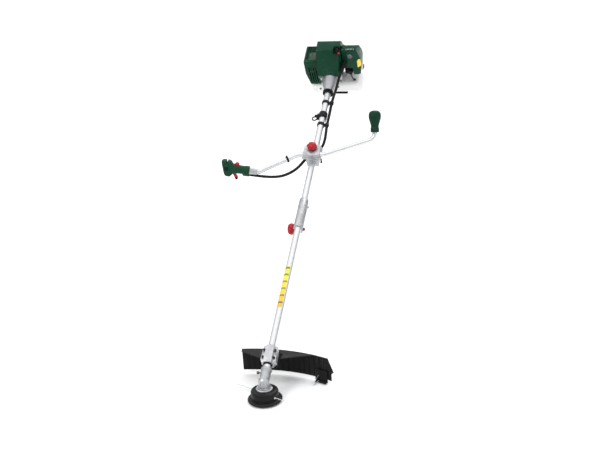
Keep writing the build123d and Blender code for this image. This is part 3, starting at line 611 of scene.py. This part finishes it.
# muffler cover: tapered box with a mesh window on top and upright vents in front
mufflerCase = {
    "outline": [(1541, -47), (1541, 72), (1548, 80), (1640, 84), (1648, 74), (1648, -30), (1632, -47)],
    "inside": [(1544, -44), (1544, 70), (1549, 77), (1639, 81), (1645, 73), (1645, -29), (1631, -44)],
    "x": (-113, -53.5),
    "starterClearance": 58,
    "taper": [(-130, 14), (-113, 14), (-98, -50), (-130, -60)],
    "insideTaper": [(-130, 14), (-109.6, 14), (-94.5, -50), (-130, -60)],
    "vents": 4,
    "ventWidth": 4.6,
    "window": ((-106, -60), (1555, 1638)),
    "meshPitch": 7.2,
    "meshBar": 2.4,
}


def buildMufflerCase():
    outer = prism(eased(mufflerCase["outline"], 5), *mufflerCase["x"], "x")
    outer = carve(outer, prism(mufflerCase["taper"], 1500, 1700, "y"))
    soften(outer, 3.0, 4, 35)
    inner = prism(mufflerCase["inside"], mufflerCase["x"][0] + 3, -45, "x")
    inner = carve(inner, prism(mufflerCase["insideTaper"], 1500, 1700, "y"))
    (left, right), (front, back) = mufflerCase["window"]
    tools = [inner, soften(box((left, right), (front, back), (70, 95)), 4, 3, chosen=isUpright),
             rod(mufflerCase["starterClearance"], 1641, 1650, "y", 72)]
    for column in range(mufflerCase["vents"]):
        x = -97 + 9.6 * column
        vent = prism([(x, 48), (x + mufflerCase["ventWidth"], 48), (x + mufflerCase["ventWidth"] + 3, -34),
                      (x + 3, -34)], 1530, 1547, "y")
        tools.append(soften(vent, 1.2, 2))
    solid = carve(outer, *tools)
    makePiece("mufflerCase", solid, shaftFrame, "greenGloss", "root", ["muffler_cover"])

    sheet = bmesh.new()
    bmesh.ops.create_grid(sheet, x_segments=40, y_segments=40, size=20 * mufflerCase["meshPitch"] * mm)
    sheet.transform(Matrix.Diagonal((0.8, 1.25, 1, 1)) @ Matrix.Rotation(math.radians(45), 4, "Z"))
    wide, deep = (right - left) / 2 + 2, (back - front) / 2 + 2
    for side, reach in (((1, 0, 0), wide), ((-1, 0, 0), wide), ((0, 1, 0), deep), ((0, -1, 0), deep)):
        everything = sheet.verts[:] + sheet.edges[:] + sheet.faces[:]
        bmesh.ops.bisect_plane(sheet, geom=everything, plane_co=Vector(side) * reach * mm, plane_no=side,
                               clear_outer=True)
    bmesh.ops.wireframe(sheet, faces=sheet.faces[:], thickness=mufflerCase["meshBar"] * mm / 2, offset=0.0,
                        use_replace=True, use_boundary=True, use_even_offset=True)
    sheet = moved(sheet, (left + right) / 2, (front + back) / 2, 78.6, (2.5, 0, 0))
    makePiece("mufflerMesh", sheet, shaftFrame, "greenMesh", "root")
    print("muffler case ready")


def isUpright(edge):
    run = edge.verts[0].co - edge.verts[1].co
    return abs(run.z) > 0.9 * run.length


# air filter cover: slanted right side, ribbed top edge, sunk screw knob and a notch over the carburettor
filterCase = {
    "outline": [(1566, -18), (1566, 112), (1573, 120), (1596, 121), (1626, 96), (1638, 66), (1638, -18)],
    "inside": [(1569, -14), (1569, 110), (1575, 117), (1594, 118), (1623, 94), (1635, 65), (1635, -14)],
    "x": (53, 128),
    "topSlant": [(113, 130), (150, 130), (150, 52), (128, 52)],
    "lowSlant": [(128, 36), (150, 36), (150, -30), (119, -30)],
    "frontSlant": [(96, 1550), (140, 1550), (140, 1594)],
    "notch": ((40, 92), (1550, 1596), (-30, 22)),
    "knobAt": (88, 92),
    "wellRadius": 13.5,
    "grooves": 6,
}


def buildFilterCase():
    solid = prism(eased(filterCase["outline"], 6), *filterCase["x"], "x")
    solid = carve(solid, prism(filterCase["topSlant"], 1500, 1700, "y"),
                  prism(filterCase["lowSlant"], 1500, 1700, "y"),
                  prism(filterCase["frontSlant"], -40, 150, "z"))
    soften(solid, 2.6, 3, 22)
    inside = prism(filterCase["inside"], 40, 108, "x")
    knobX, knobZ = filterCase["knobAt"]
    well = moved(rod(filterCase["wellRadius"], 1560, 1569.2, "y"), knobX, 0, knobZ)
    tools = [inside, well, soften(box(*filterCase["notch"]), 3, 3, chosen=isAlongY)]
    for step in range(filterCase["grooves"]):
        x = 70 + 6.4 * step
        tools.append(prism([(x, 112), (x + 2.6, 112), (x + 4.6, 124), (x + 2, 124)], 1560, 1577, "y"))
    solid = carve(solid, *tools)
    makePiece("filterCase", solid, shaftFrame, "greenGloss", "root", ["air_filter_cover"])
    lip = lathe(eased([(13.2, 0), (15.4, 0), (15.4, 1.6), (13.2, 1.6)], 0.5, True, 2), 48)
    makePiece("knobWellRim", moved(lip, knobX, 1566.2, knobZ, (90, 0, 0)), shaftFrame, "greenCap", "root")
    back = rod(13.3, 0, 1, "y")
    makePiece("knobWellFloor", moved(back, knobX, 1568.6, knobZ), shaftFrame, "greenMatt", "root")
    silver = []
    for step in range(filterCase["grooves"]):
        x = 70.4 + 6.4 * step
        silver.append(prism([(x, 113), (x + 2, 113), (x + 3.8, 120), (x + 1.9, 120)], 1571.5, 1574, "y"))
    makePiece("filterScreen", joined(*silver), shaftFrame, "brightSteel", "root")
    sticker = prism(eased([(-9.5, -20), (9.5, -20), (9.5, 14), (-1, 20), (-9.5, 14)], 3), -0.25, 0.25, "y")
    makePiece("filterSticker", moved(sticker, 120.1, 1573.9, 42, (0, 0, 45)), shaftFrame, "yellowLabel",
              "root")

    def fluted(radius, height, angle):
        return radius * (1 + 0.1 * math.cos(5 * angle)) if radius > 6 else radius

    knob = lathe(eased([(0, 0), (3, 0), (3.4, 2.2), (8.4, 1), (10.2, 3), (10.2, 9.4), (8.6, 11.6), (4, 12.4),
                        (4, 27),
                        (0, 27)], 1.2, False), 60, fluted)
    makePiece("filterKnob", moved(knob, knobX, 1553, knobZ, (-90, 0, 0)), shaftFrame, "greyKnob",
              "filter_screw",
              ["filter_knob"])
    print("filter case ready")


def isAlongY(edge):
    run = edge.verts[0].co - edge.verts[1].co
    return abs(run.y) > 0.9 * run.length


# throttle handle, in its own frame: z outwards along the handle, x to its thumb side
bendLeft = Vector((-202, 937, 32))
bendRight = Vector((242, 1122, 32))
handleAxis = Vector((-0.965, -0.06, 0.25)).normalized()
handleLift = Vector((0, 0.45, 0.89))
handleUp = (handleLift - handleAxis * handleLift.dot(handleAxis)).normalized()
gripAxis = Vector((0, 0.67, 0.742)).normalized()


def frameAt(origin, sideways, outwards):
    turn = Matrix((sideways, outwards.cross(sideways), outwards)).transposed().to_4x4()
    return shaftFrame @ Matrix.Translation(origin * mm) @ turn


handleFrame = frameAt(bendLeft, handleUp, handleAxis)
throttle = {
    "sections": [  # distance out, half width on the thumb side, half thickness, shift, squareness
        (34, 15.5, 15, 0, 2.2), (35.5, 18, 17.5, 0, 2.2), (42, 20.5, 18.6, -2.0, 2.3),
        (50, 20, 18, -2.0, 2.3),
        (55, 17.2, 16.6, -0.5, 2.2), (62, 16.4, 16, 0, 2.2), (84, 17, 16.2, 0, 2.3),
        (96, 18.5, 16.6, -0.5, 2.6),
        (103, 24, 16.9, -2, 3.2), (108, 30.5, 17, -1, 4.2), (116, 33, 17, 0, 5.0), (134, 33, 17, 0, 5.0),
        (143, 31.5, 16.4, 0, 4.4), (148, 28.5, 14.4, 0, 3.8), (150, 24, 10.5, 0, 3.2)],
    "steps": 88,
    "rise": 1.0,
    "knurlFrom": 58,
    "knurlTo": 98,
    "knurlDepth": 0.55,
    "slantFrom": 106,
    "slant": 19,
}


def throttleRing(out):
    rows = throttle["sections"]
    upper = next(i for i, row in enumerate(rows) if row[0] >= out - 1e-6)
    lower = max(upper - 1, 0)
    span = rows[upper][0] - rows[lower][0]
    t = (out - rows[lower][0]) / span if span else 0.0
    t = t * t * (3 - 2 * t)
    halfUp, halfThick, shift, square = [rows[lower][k] * (1 - t) + rows[upper][k] * t for k in range(1, 5)]
    points = []
    for step in range(throttle["steps"]):
        angle = 2 * math.pi * step / throttle["steps"]
        c, s = math.cos(angle), math.sin(angle)
        x = halfUp * math.copysign(abs(c) ** (2 / square), c) + shift
        y = halfThick * math.copysign(abs(s) ** (2 / square), s)
        if throttle["knurlFrom"] < out < throttle["knurlTo"]:
            crossing = math.sin(11 * angle + out * 0.55) * math.sin(11 * angle - out * 0.55)
            x += throttle["knurlDepth"] * crossing * c
            y += throttle["knurlDepth"] * crossing * s
        z = out
        if out > throttle["slantFrom"]:
            share = (out - throttle["slantFrom"]) / (150 - throttle["slantFrom"])
            z -= throttle["slant"] * share * (33 - x) / 66
        points.append((x, y, z))
    return points


def buildThrottle():
    outs = sorted({row[0] for row in throttle["sections"]} | {34 + throttle["rise"] * k for k in range(116)})
    body = loft([throttleRing(out) for out in outs if out <= 150])
    boss = moved(lathe(eased([(0, 0), (8, 0), (8, 22), (5, 27), (0, 27)], 2, False), 40), -16.5, 0, 34)
    tools = [
        soften(box((-42, -6), (-4.6, 4.6), (69, 114)), 1.5, 2),
        soften(box((9, 42), (-4.6, 4.6), (74, 114)), 1.5, 2),
        soften(box((-8, 8), (-25, -13), (119, 133)), 1.5, 2),
        prism([(50, 118), (19, 126), (50, 133)], -30, 30, "y"),
    ]
    seam = moved(box((-42, 26), (-20, -15.6), (-0.9, 0.9)), 0, 0, 113, (0, -14, 0))
    seamBack = moved(box((-42, 26), (15.6, 20), (-0.9, 0.9)), 0, 0, 113, (0, -14, 0))
    body = carve(body, seam, seamBack, *tools)
    makePiece("throttleBody", joined(body, boss), handleFrame, "greenMatt", "handlebar",
              ["throttle_shell_front", "throttle_shell_rear"])
    for side in (-1, 1):
        screws = []
        for x, z in ((22, 140), (-20, 128), (0, 44)):
            head = lathe(eased([(0, 0), (3.4, 0), (3.2, 1.1), (1.2, 1.3), (1.1, 0.4), (0, 0.4)], 0.4, False),
                         24)
            reach = 15.4 if z == 44 else 16.3
            screws.append(moved(head, x, side * reach, z, (-90 * side, 0, 0)))
        makePiece("throttleScrews" + ("Front" if side < 0 else "Rear"), joined(*screws), handleFrame,
                  "blackSteel",
                  "handlebar")

    blade = prism(eased([(-6, 110), (-13, 110.5), (-24, 96), (-35, 90), (-36, 77), (-33, 76), (-21, 84),
                         (-13.5, 94)], 3), -4, 4, "y")
    makePiece("triggerBlade", soften(blade, 1.1, 3, 50), handleFrame, "redPlastic", "throttle_trigger",
              ["trigger"])
    tip = prism(eased([(-33, 90.4), (-42, 86.4), (-43.4, 79), (-33, 75.6)], 3), -4.2, 4.2, "y")
    makePiece("triggerTip", soften(tip, 1.1, 3, 50), handleFrame, "blackPlastic", "throttle_trigger")
    lever = prism(eased([(14.5, 76), (26.5, 77), (28, 84), (26.5, 92), (21, 94), (20, 106), (14.5, 106)],
                        2.5),
                  -4, 4, "y")
    ridges = [moved(rod(0.9, -3, 3, "y", 12), 27.4, 0, 79.5 + 3 * k) for k in range(4)]
    makePiece("lockoutThumb", joined(soften(lever, 0.9, 3, 50), *ridges), handleFrame, "redPlastic",
              "throttle_lockout", ["lockout_lever"])
    key = soften(box((-5, 5), (-20, -13.2), (121, 129)), 1.6, 3)
    ribs = [soften(box((-4, 4), (-20.6, -19.6), (122.2 + 2 * k, 123.2 + 2 * k)), 0.3, 2) for k in range(3)]
    makePiece("stopKey", joined(key, *ribs), handleFrame, "blackPlastic", "engine_switch",
              ["stop_switch"])
    sleeve = lathe(eased([(10.2, 0), (12.4, 1), (13.4, 8), (13.4, 22), (14.6, 26), (14.6, 32), (10.2, 32)],
                         1.6), 56)
    makePiece("handleSleeve", moved(sleeve, 0, 0, 3), handleFrame, "castAluminium", "handlebar")
    print("throttle ready")


# right-hand grip: a soft bulb with a ribbed collar
gripShape = {
    "profile": [(10.1, 26), (15.4, 26), (16.4, 27.2), (17.4, 29), (17.4, 31.4), (16.4, 32.4), (16.4, 33.4),
                (17.4, 34.4), (17.4, 37), (16.4, 38), (16.4, 39), (17.4, 40), (17.2, 42), (15.6, 46),
                (15.6, 50),
                (17, 58), (19.6, 66), (22, 74), (24, 82), (24.5, 89), (24, 98), (21.4, 104.4), (17, 108.6),
                (11, 111.5), (5, 112.4), (0.05, 112.5), (0.05, 104.6), (10.1, 104.4)],
}


def buildGrip():
    def dimpled(radius, height, angle):
        if 56 < height < 100:
            return radius - 0.5 * max(0.0, math.sin(14 * angle + height * 0.4) * math.sin(14 * angle - height * 0.4))
        return radius

    profile = []
    for (r1, z1), (r2, z2) in zip(gripShape["profile"], gripShape["profile"][1:]):
        pieces = max(1, int(abs(z2 - z1) / 1.4)) if r1 > 12 and r2 > 12 else 1
        for step in range(pieces):
            t = step / pieces
            profile.append((r1 + (r2 - r1) * t, z1 + (z2 - z1) * t))
    bulb = lathe(profile + [gripShape["profile"][-1]], 112, dimpled)
    makePiece("bulbGrip", bulb, frameAt(bendRight, Vector((1, 0, 0)), gripAxis), "gripRubber", "handlebar",
              ["left_grip"])
    print("grip ready")


# red knobs: the handlebar's faceted star and the coupling's fluted barrel
def buildKnobs():
    def star(radius, height, angle):
        if radius < 11:
            return radius
        lobe = 0.5 + 0.5 * math.cos(6 * angle)
        return radius * (0.86 + 0.2 * lobe ** 0.6)

    profile = eased([(0, 69), (8, 69), (14, 66.5), (18.4, 62), (19.8, 56), (19.4, 51), (15, 47.8),
                     (9.2, 47.2),
                     (9, 45.8), (4, 45.6), (4, 15), (0, 15)], 1.6, False)
    makePiece("starKnob", moved(lathe(profile, 144, star), 0, 1058, 0), shaftFrame, "redPlastic", "bar_knob",
              ["handlebar_knob"])
    cap = lathe(eased([(0, 70.2), (5, 70), (6.4, 68.6), (0, 68)], 0.6, False), 40)
    makePiece("starCap", moved(cap, 0, 1058, -0.6), shaftFrame, "redPlastic", "bar_knob")

    def barrel(radius, height, angle):
        if radius < 12:
            return radius
        return radius - 1.9 * (0.5 + 0.5 * math.cos(10 * angle)) ** 3

    profile = eased([(0, 44), (9, 44), (15.5, 43.4), (19.8, 40.5), (22.1, 34), (22.4, 31.5), (22.1, 28),
                     (20, 22),
                     (17, 19.4), (6.4, 19), (6, 18.4), (6, 13.4), (3, 13.4), (3, -22), (0, -22)], 1.4, False)
    knob = lathe(profile, 160, barrel)
    nut = lathe([(3.1, -21), (6, -21), (6, -13.4), (3.1, -13.4)], 6)
    ring = lathe(eased([(10, 43.4), (13.4, 43.4), (13.4, 44.4), (10, 44.4)], 0.4, True, 2), 60)
    makePiece("couplingBarrel", moved(joined(knob, nut), 0, 690, -21, (0, -90, 0)), shaftFrame, "redPlastic",
              "coupling_screw", ["coupling_knob"])
    makePiece("couplingRing", moved(ring, 0.4, 690, -21, (0, -90, 0)), shaftFrame, "redPlastic",
              "coupling_screw")
    print("knobs ready")


# ribbed conduits: the same points as the CAD tubes, on a smooth NURBS line
cableStart = bendLeft + handleAxis * 35 - handleUp * 16.5
cableJoin = (-46, 1031, -13)
conduit = {
    "bar": [tuple(cableStart), tuple(cableStart - handleAxis * 34), (-178, 930, 13), (-150, 931, 10),
            (-122, 936, 7), (-97, 948, 4), (-74, 972, -2), (-54, 1006, -9), cableJoin],
    "shaft": [cableJoin, (-37, 1059, -17.5), (-21, 1085, -25), (2, 1107, -28), (21, 1132, -21),
              (28, 1162, -9),
              (28, 1196, -1), (25.5, 1235, 0.5), (26.5, 1301, -0.5), (25.5, 1367, 1), (30, 1408, 6),
              (37, 1444, 15), (42, 1480, 29), (51, 1512, 44), (58, 1541, 53), (62, 1563, 57)],
    "crest": 5.9,
    "valley": 5.1,
    "pitch": 3.0,
    "sides": 18,
    "bootLength": 58,
}


def smoothLine(points):
    curve = bpy.data.curves.new("line", "CURVE")
    curve.dimensions = "3D"
    spline = curve.splines.new("NURBS")
    spline.points.add(len(points) - 1)
    for spot, point in zip(spline.points, points):
        spot.co = (*(Vector(point) * mm), 1)
    spline.order_u = 3
    spline.use_endpoint_u = True
    spline.resolution_u = 24
    carrier = bpy.data.objects.new("line", curve)
    collection.objects.link(carrier)
    mesh = bpy.data.meshes.new_from_object(carrier)
    line = [v.co.copy() for v in mesh.vertices]
    bpy.data.objects.remove(carrier)
    bpy.data.curves.remove(curve)
    bpy.data.meshes.remove(mesh)
    return line


def spaced(line, step):
    # walks the line in equal steps, in metres
    made, left = [line[0]], step
    for one, two in zip(line, line[1:]):
        run = (two - one).length
        while run > left:
            one = one.lerp(two, left / run)
            run -= left
            left = step
            made.append(one)
        left -= run
    return made


def hose(stations, radii, sides):
    solid = bmesh.new()
    normal = Vector((0, 0, 1))
    rings = []
    for i, spot in enumerate(stations):
        run = (stations[min(i + 1, len(stations) - 1)] - stations[max(i - 1, 0)]).normalized()
        normal = (normal - run * normal.dot(run)).normalized()
        across = run.cross(normal)
        rings.append([solid.verts.new(spot + (normal * math.cos(a) + across * math.sin(a)) * radii[i] * mm)
                      for a in (2 * math.pi * k / sides for k in range(sides))])
    bridge(solid, rings)
    solid.faces.new(rings[0][::-1])
    solid.faces.new(rings[-1])
    return solid


def ribbed(points):
    stations = spaced(smoothLine(points), conduit["pitch"] * mm / 4)
    step = (conduit["crest"], conduit["crest"], conduit["valley"], conduit["valley"])
    return hose(stations, [step[i % 4] for i in range(len(stations))], conduit["sides"])


def buildConduits():
    barTube = makePiece("barConduit", ribbed(conduit["bar"]), shaftFrame, "conduitBlack", None,
                        ["handlebar_cable"])
    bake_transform(barTube)
    makePiece("shaftConduit", ribbed(conduit["shaft"]), shaftFrame, "conduitBlack", "root",
              ["shaft_cable"])
    stations = spaced(smoothLine(conduit["shaft"]), 1.5 * mm)[-int(conduit["bootLength"] / 1.5):]
    count = len(stations)
    radii = [6.6 + 4.4 * (i / count) ** 1.3 - (0.7 if i % 6 in (2, 3) and i < count * 0.6 else 0)
             for i in range(count)]
    makePiece("conduitBoot", hose(stations, radii, 24), shaftFrame, "blackRubber", "root")
    print("conduits ready")


# line head: drum with a rolled shoulder, and the foot flange it rides on
def buildHead():
    drum = lathe(eased([(6, 44), (27, 44), (29, 43), (40, 42.6), (44.6, 40.6), (46.8, 36), (47, 20),
                        (45.8, 18.4),
                        (45.8, 16.6), (47, 15.8), (47, 14.2), (43.6, 14.2), (43.6, 36), (40, 40.4),
                        (6, 40.4)],
                       1.6), 120)
    makePiece("spoolDrum", drum, headFrame, "headPlastic", "head", ["spool_housing"])
    foot = lathe(eased([(33, 3), (54, 3), (58, 5), (59, 7.6), (58.6, 10), (55, 12.6), (50, 13.4), (43.2, 14),
                        (43.2, 19), (41, 19), (41, 8), (33, 8)], 1.4), 120)
    makePiece("spoolFoot", foot, headFrame, "headPlastic", "head", ["spool_base"])
    eyelets = []
    for turn in (-30, 150):
        ring = lathe(eased([(1.4, 44.6), (3.6, 46.6), (3.6, 48.2), (1.4, 48.4)], 0.6, True, 3), 32)
        eyelets.append(moved(moved(ring, 0, 0, 0, (0, 90, 0)), 0, 0, 24, (0, 0, turn)))
    makePiece("lineEyelets", joined(*eyelets), headFrame, "brightSteel", "head")
    wound = lathe(eased([(17.2, 11.2), (33, 11.2), (33.5, 31.8), (17.2, 31.8)], 1), 72)
    makePiece("woundLine", wound, headFrame, "nylonLine", "tap_spool")
    ribs = []
    for k in range(12):
        angle = 30 * k
        rib = soften(box((16.4, 18.6), (-1.3, 1.3), (54.2, 76)), 0.7, 2)
        if k not in (2, 3, 4):
            ribs.append(moved(rib, turn=(0, 0, angle)))
    makePiece("gearCaseRibs", joined(*ribs), headFrame, "castAluminium", "root")
    collar = lathe(eased([(13.2, 52), (18.9, 52), (19.2, 49), (19.2, 45.4), (17.2, 44), (13.2, 44)], 0.8), 72)
    makePiece("gearCaseCollar", moved(collar, turn=(-90, 0, 0)), shaftFrame, "castAluminium", "root")
    print("head ready")


# labels, clips and small fittings along the shaft and bar
fittings = {
    "labelSpan": (302, 485),
    "labelArc": (-150, 20),
    "labelRadius": 13.12,
    "barClip": (-95, 1006.5, 32),
}


def buildFittings():
    label = bmesh.new()
    rings = []
    low, high = fittings["labelSpan"]
    start, end = fittings["labelArc"]
    for radius in (fittings["labelRadius"] - 0.1, fittings["labelRadius"] + 0.05):
        rings.append([[label.verts.new((radius * mm * math.cos(math.radians(a)), y * mm,
                                        radius * mm * math.sin(math.radians(a))))
                       for a in [start + (end - start) * k / 30 for k in range(31)]] for y in (low, high)])
    for k in range(30):
        for inner in range(2):
            label.faces.new((rings[inner][0][k], rings[inner][0][k + 1], rings[inner][1][k + 1],
                             rings[inner][1][k]))
        for side in range(2):
            label.faces.new((rings[0][side][k], rings[0][side][k + 1], rings[1][side][k + 1],
                             rings[1][side][k]))
    for k in (0, 30):
        label.faces.new((rings[0][0][k], rings[0][1][k], rings[1][1][k], rings[1][0][k]))
    makePiece("tubeLabel", label, shaftFrame @ Matrix.Rotation(math.radians(155), 4, "Y"), "tubeLabel",
              "root")

    armRun = (Vector((-53, 1034, 32)) - bendLeft).normalized()
    armFrame = frameAt(Vector(fittings["barClip"]), Vector((0, 0, 1)), armRun)
    band = lathe(eased([(10.15, -4), (12.6, -4), (12.6, 4), (10.15, 4)], 0.8), 48)
    tab = soften(box((11.6, 21), (-2.2, 2.2), (-3.4, 3.4)), 1, 3)
    makePiece("barClip", joined(band, tab), armFrame, "blackPlastic", "handlebar")

    lever = hose(spaced(smoothLine([(24, 1052, 12), (29, 1046, 9), (33, 1036, 2), (35, 1026, -3)]), 1 * mm),
                 [3.0] * 200, 16)
    end = moved(lathe(eased([(0, 0), (4.4, 0), (4.6, 5), (3.4, 7), (0, 7)], 1, False), 28), 35, 1029, -2,
                (115, 0, -8))
    makePiece("clampLever", joined(lever, end), shaftFrame, "blackSteel", "root")

    strip = soften(box((17.4, 19.6), (684, 806), (-2.4, 2.4)), 0.7, 2)
    makePiece("sleeveRail", strip, shaftFrame, "castAluminium", "root")

    pipe = hose(spaced(smoothLine([(80, 1566, -12), (82, 1560, -24), (90, 1558, -38), (92, 1566, -50),
                                   (90, 1572, -54)]), 1.2 * mm), [2.6] * 200, 14)
    makePiece("fuelPipe", pipe, shaftFrame, "blackRubber", "root")
    grommet = lathe(eased([(0, 0), (6, 0), (6, 3), (4, 5), (0, 5)], 1, False), 32)
    makePiece("tankGrommet", moved(grommet, 90, 1572, -52), shaftFrame, "blackRubber", "root")
    seam = prism(eased([(-104.4, -100), (-104.4, -60), (-96, -51), (112, -51), (120.4, -62), (120.4, -96),
                        (106, -107.4),
                        (-92, -107.4)], 14), 1591.6, 1594.4, "y")
    core = prism(eased([(-102.6, -99), (-102.6, -61), (-95, -53), (111, -53), (118.6, -63), (118.6, -95),
                        (105, -105.6),
                        (-91, -105.6)], 14), 1580, 1600, "y")
    makePiece("tankSeam", carve(seam, core), shaftFrame, "milkyTank", "root")
    bolts = []
    for x, z in ((18, -70), (-62, -78)):
        bolts.append(moved(lathe(eased([(0, 0), (4.2, 0), (4, 2.6), (2, 3), (0, 3)], 0.6, False), 24), x,
                           1548.4, z,
                           (90, 0, 0)))
    makePiece("tankBolts", joined(*bolts), shaftFrame, "blackSteel", "root")
    print("fittings ready")


# starter side: screws on the fan cover
def buildStarterDetail():
    screws = []
    for turn in range(4):
        head = lathe(eased([(0, 0), (3.6, 0), (3.4, 2), (1.4, 2.4), (0, 2.4)], 0.5, False), 24)
        angle = math.radians(45 + 90 * turn)
        screws.append(moved(head, 53.2 * math.cos(angle), 1694.2, 53.2 * math.sin(angle), (-90, 0, 0)))
    makePiece("starterScrews", joined(*screws), shaftFrame, "blackSteel", "root")
    print("starter detail ready")


cadBevels = {"guard_shell": 0.7, "guard_skirt": 0.5, "guard_clamp": 0.8, "handlebar_base": 0.6,
             "handlebar_clamp": 0.6, "starter_housing": 0.6, "harness_clamp": 0.8, "harness_eye": 0.6,
             "clutch_housing": 0.5, "tank_foot": 0.5, "fuel_cap": 0.4, "coupling_sleeve": 0.5}


def softenCadEdges():
    # welds the split corners of a CAD mesh and rounds its edges without touching its own vertices
    for name, width in cadBevels.items():
        weld = nodes[name].modifiers.new("weld", "WELD")
        weld.merge_threshold = 0.002 * mm
        bevel = nodes[name].modifiers.new("bevel", "BEVEL")
        bevel.width = width * mm
        bevel.segments = 2
        bevel.limit_method = "ANGLE"
        bevel.angle_limit = math.radians(38)
        bevel.harden_normals = True
    print("CAD edges softened")


buildStage()
dressCadNodes()
softenCadEdges()
buildHood()
buildMufflerCase()
buildFilterCase()
buildThrottle()
buildGrip()
buildKnobs()
buildConduits()
buildHead()
buildFittings()
buildStarterDetail()
